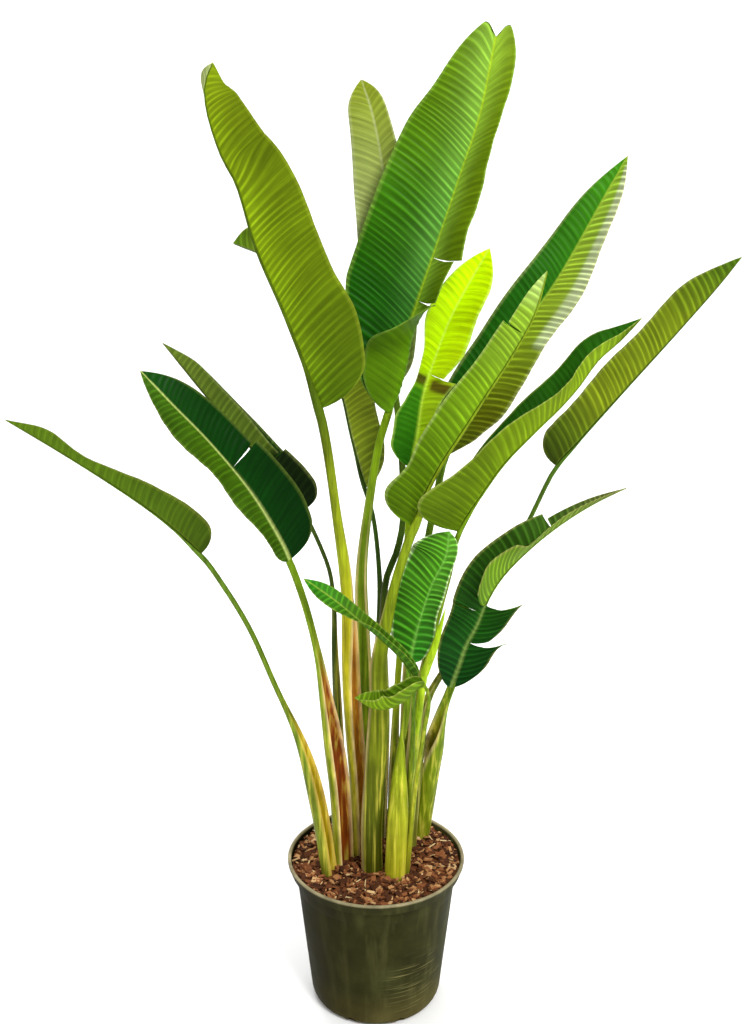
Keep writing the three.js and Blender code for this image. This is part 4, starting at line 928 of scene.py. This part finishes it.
# Far left leaf: folded, dark olive, on a stalk whose open sheath is yellow and orange inside.
make_leaf(
    name="far_left_leaf", node="leaf_far_left", slot="leaf_olive", seed=4.4, material=UNDER_SIDE,
    stalk=[(-78, -40, 258), (-96, -46, 398), (-122, -52, 512), (-163, -55, 620), (-199, -65, 721),
        (-235, -75, 796), (-270, -85, 856)],
    rib=[(-320, -95, 912), (-368, -105, 955), (-447, -120, 1017), (-535, -140, 1083)], opens=(0.95, -0.25, 0),
    face=[(0.5, 0, 0.85), (0.5, 0, 0.85)], sheath=(17, 15, 0.28, 0.6, 0.8), petiole=5,
    left=[(0, 50, 74, 0), (0.2, 48, 74, 0), (0.35, 42, 74, 0), (0.5, 26, 74, 0), (0.66, 17, 74, 0),
        (0.82, 24, 74, 0), (1, 14, 70, 0)],
    right=[(0, 34, 80, 0), (0.3, 34, 82, 0), (0.65, 14, 80, 0), (0.85, 18, 80, 0), (1, 10, 70, 0)], stripe=0.55,
    upper=[(0, "#2C4E10"), (1, "#3C6014")], under=[(0, "#3C520E"), (0.3, "#4C6812"), (1, "#5A7817")],
    stalk_colour=[(0, "#8A8C26"), (0.4, "#6E8420"), (1, "#5A7A20")], rib_colour="#8A9C34", lit=0.2,
    inner="#A8900E", cream="#D2B050", margin="#7E8436")

# Left dark leaf: one half very dark with a notch, the other olive; its sheath is orange-brown inside.
make_leaf(
    name="left_dark_leaf", node="leaf_left_dark", slot="leaf_deep", seed=5.8, material=UPPER_SIDE,
    stalk=[(-55, -10, 258), (-61, -20, 411), (-71, -31, 509), (-81, -40, 585), (-93, -50, 670),
        (-112, -60, 762), (-135, -70, 841)],
    rib=[(-147, -74, 872), (-189, -88, 955), (-246, -105, 1038), (-299, -120, 1103), (-338, -130, 1152)],
    opens=(0.8, -0.6, 0), face=[(0.4, -0.65, 0.65), (0.35, -0.6, 0.7)], sheath=(19, 17, 0.38, 0.8, 0.8),
    petiole=6, left=[(0, 30, 26, 0), (0.2, 42, 25, 0), (0.5, 57, 24, 0), (0.8, 53, 22, 0), (1, 36, 20, 0)],
    right=[(0, 52, 20, 0), (0.2, 68, 20, 4), (0.35, 62, 20, 4), (0.47, 57, 20, 4), (0.47, 50, 22, 0),
        (0.6, 48, 22, 0), (0.85, 38, 20, 0), (1, 30, 15, 0)], stripe=0.7, calm=1,
    upper=[(0, "#36560C"), (0.6, "#3E600C"), (1, "#365A12")],
    upper_right=[(0, "#062A05"), (0.6, "#083206"), (1, "#123E0C")], under=[(0, "#4A6A18"), (1, "#5A7A20")],
    stalk_colour=[(0, "#9CA022"), (0.4, "#86981E"), (1, "#6A8A18")], rib_colour="#B8C870", lit=0.35,
    inner="#8A4410", cream="#E8C88A", margin="#6A7C34")

# Left rear leaf: folded, olive with pale stripes and a torn lobe at its base painted dark as shadow; its stalk is
# painted dark as shade.
make_leaf(
    name="left_rear_leaf", node="leaf_left_rear", slot="leaf_olive", seed=6.6, material=UNDER_SIDE,
    stalk=[(-51, 44, 258), (-64, 34, 551), (-68, 28, 654), (-69, 22, 728), (-75, 16, 788), (-92, 10, 841),
        (-116, 0, 899)], rib=[(-129, -4, 924), (-194, -15, 1005), (-263, -30, 1097), (-318, -45, 1176)],
    opens=(0.9, 0, 0), face=[(0.6, 0.1, 0.75), (0.6, 0.1, 0.75)], sheath=(11, 9, 0.45, 0.8, 0.5), petiole=4.5,
    left=[(0, 40, 62, 0), (0.12, 47, 62, 0), (0.28, 48, 62, 0), (0.28, 30, 72, 0), (0.5, 30, 74, 0),
        (0.8, 26, 74, 0), (1, 14, 70, 0)],
    right=[(0, 34, 80, 0), (0.3, 34, 82, 0), (0.7, 27, 82, 0), (1, 14, 75, 0)],
    upper=[(0, "#1F3A12"), (1, "#2E4E16")],
    under=[(0, "#101E08"), (0.28, "#162809"), (0.34, "#4A5E1A"), (1, "#5C7024")],
    stalk_colour=[(0, "#3A4A14"), (0.5, "#3A4A14"), (1, "#41551A")], rib_colour="#8A9A44", lit=0.3,
    margin="#7C8648")

# Top rear leaf: tall, narrow and pale, behind the two tallest; its stalk is painted dark green as deep shade,
# lighter toward the neck.
make_leaf(
    name="top_rear_leaf", node="leaf_top_rear", slot="leaf_olive", seed=7.3, material=UPPER_SIDE,
    stalk=[(8, 66, 258), (14, 76, 480), (12, 78, 648), (17, 77, 751), (34, 78, 799), (44, 80, 850),
        (42, 84, 956), (36, 91, 1026), (29, 98, 1078)],
    rib=[(22, 108, 1213), (18, 115, 1322), (12, 118, 1398), (2, 118, 1460), (-10, 118, 1509), (-23, 118, 1546)],
    opens=(0, -1, 0), face=[(-0.1, -0.98, 0.2), (-0.1, -0.98, 0.2)], sheath=(10, 9, 0.3, 0.65, 0.4),
    petiole=5.5, tip_from=0.88,
    left=[(0, 30, 12, 0), (0.2, 46, 12, 0), (0.6, 49, 12, 0), (0.8, 42, 12, 0), (1, 30, 12, 0)],
    right=[(0, 30, 12, 0), (0.2, 42, 12, 0), (0.5, 40, 12, 0), (0.75, 30, 12, 0), (1, 20, 12, 0)], stripe=0.3,
    lean=0.5, upper=[(0, "#A8AC80"), (0.4, "#9CA66C"), (0.75, "#92A050"), (1, "#7E8C18")],
    upper_right=[(0, "#929C54"), (0.5, "#94A258"), (1, "#7E8C1C")], under=[(0, "#8AA040"), (1, "#94AA2A")],
    stalk_colour=[(0, "#2F4A18"), (0.6, "#2F4A18"), (1, "#6A8428")], rib_colour="#AEB878", lit=0.1,
    margin="#C8D09A")

# Left behind leaf: pale and mostly hidden; its far end shows beside the upper left leaf.
make_leaf(
    name="left_behind_leaf", node="leaf_left_behind", slot="leaf_olive", seed=8.8, material=UNDER_SIDE,
    stalk=[(-20, 82, 258), (2, 99, 560), (6, 95, 643), (6, 97, 745), (-4, 100, 851), (-18, 104, 903)],
    rib=[(-40, 110, 987), (-58, 116, 1066), (-100, 122, 1180), (-146, 124, 1262), (-226, 126, 1300)],
    opens=(0, -1, 0), face=[(0.7, 0.1, 0.6), (0.6, 0.1, 0.75)], sheath=(12, 10, 0.35, 0.8, 0.4), petiole=5,
    tip_from=0.93, left=[(0, 40, 50, 0), (0.15, 60, 50, 0), (0.4, 60, 60, 0), (0.7, 50, 66, 0), (1, 36, 66, 0)],
    right=[(0, 30, 78, 0), (0.4, 44, 80, 0), (0.8, 32, 80, 0), (1, 22, 76, 0)],
    upper=[(0, "#5A6E1A"), (1, "#4A6A14")],
    under=[(0, "#6A7A1C"), (0.5, "#84941F"), (0.85, "#6A7A1A"), (1, "#4A6A14")],
    stalk_colour=[(0, "#2F4A18"), (1, "#3A5418")], rib_colour="#D8E0A8", lit=0.4, margin="#A8AC58")


# Stage: a plain pale floor that curves up behind, and soft studio light. It isn't part of the plant.
deselect()
bpy.ops.mesh.primitive_plane_add(size=10, location=(0, 0, 0))
floor = bpy.context.object
floor.name = "studio_floor"
bpy.ops.object.mode_set(mode="EDIT")
bpy.ops.mesh.select_all(action="DESELECT")
bpy.ops.object.mode_set(mode="OBJECT")
for edge in floor.data.edges:
    edge.select = all(floor.data.vertices[k].co.y > 4 for k in edge.vertices)
bpy.ops.object.mode_set(mode="EDIT")
bpy.ops.mesh.extrude_region_move(TRANSFORM_OT_translate={"value": (0, 0, 5)})
bpy.ops.object.mode_set(mode="OBJECT")
for edge in floor.data.edges:
    edge.select = all(floor.data.vertices[k].co.y > 4 and floor.data.vertices[k].co.z < 1 for k in edge.vertices)
bpy.ops.object.mode_set(mode="EDIT")
bpy.ops.mesh.bevel(offset=1.6, segments=16, affect="EDGES")
bpy.ops.object.mode_set(mode="OBJECT")
bpy.ops.object.shade_smooth()
paper, tree = new_material("studio_paper")
shader = add_node(tree, "BsdfPrincipled", Base_Color="#FAFAF9", Roughness=0.9)
add_node(tree, "OutputMaterial", Surface=shader.outputs["BSDF"])
floor.data.materials.append(paper)
floor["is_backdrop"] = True

world = bpy.data.worlds.new("studio")
world.use_nodes = True
world.node_tree.nodes["Background"].inputs["Color"].default_value = (1, 1, 1, 1)
world.node_tree.nodes["Background"].inputs["Strength"].default_value = 0.8
bpy.context.scene.world = world


def add_light(name, place, aim, size, power):
    light = bpy.data.lights.new(name, "AREA")
    light.shape, light.size, light.energy = "DISK", size, power
    lamp = bpy.data.objects.new(name, light)
    lamp.location = place
    lamp.rotation_euler = (Vector(aim) - Vector(place)).to_track_quat("-Z", "Y").to_euler()
    bpy.context.scene.collection.objects.link(lamp)


add_light("key_light", (1.3, -2.4, 3.4), (0, 0, 0.8), 1.4, 110)
add_light("back_light", (-1.0, 2.4, 3.0), (0, 0, 1.0), 1.8, 50)
add_light("backdrop_light", (0, 1.8, 3.6), (0, 4.8, 1.2), 2.0, 90)

view = bpy.data.cameras.new("camera")
view.sensor_fit, view.sensor_width = "AUTO", 36
view.lens = 36 * 1333 / 1024
camera = bpy.data.objects.new("camera", view)
camera.location = (-0.006, -2.0, 1.569)
camera.rotation_euler = (math.radians(90 - 18.61), 0, 0)
bpy.context.scene.collection.objects.link(camera)
bpy.context.scene.camera = camera
bpy.context.scene.view_settings.view_transform = "Standard"

low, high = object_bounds()
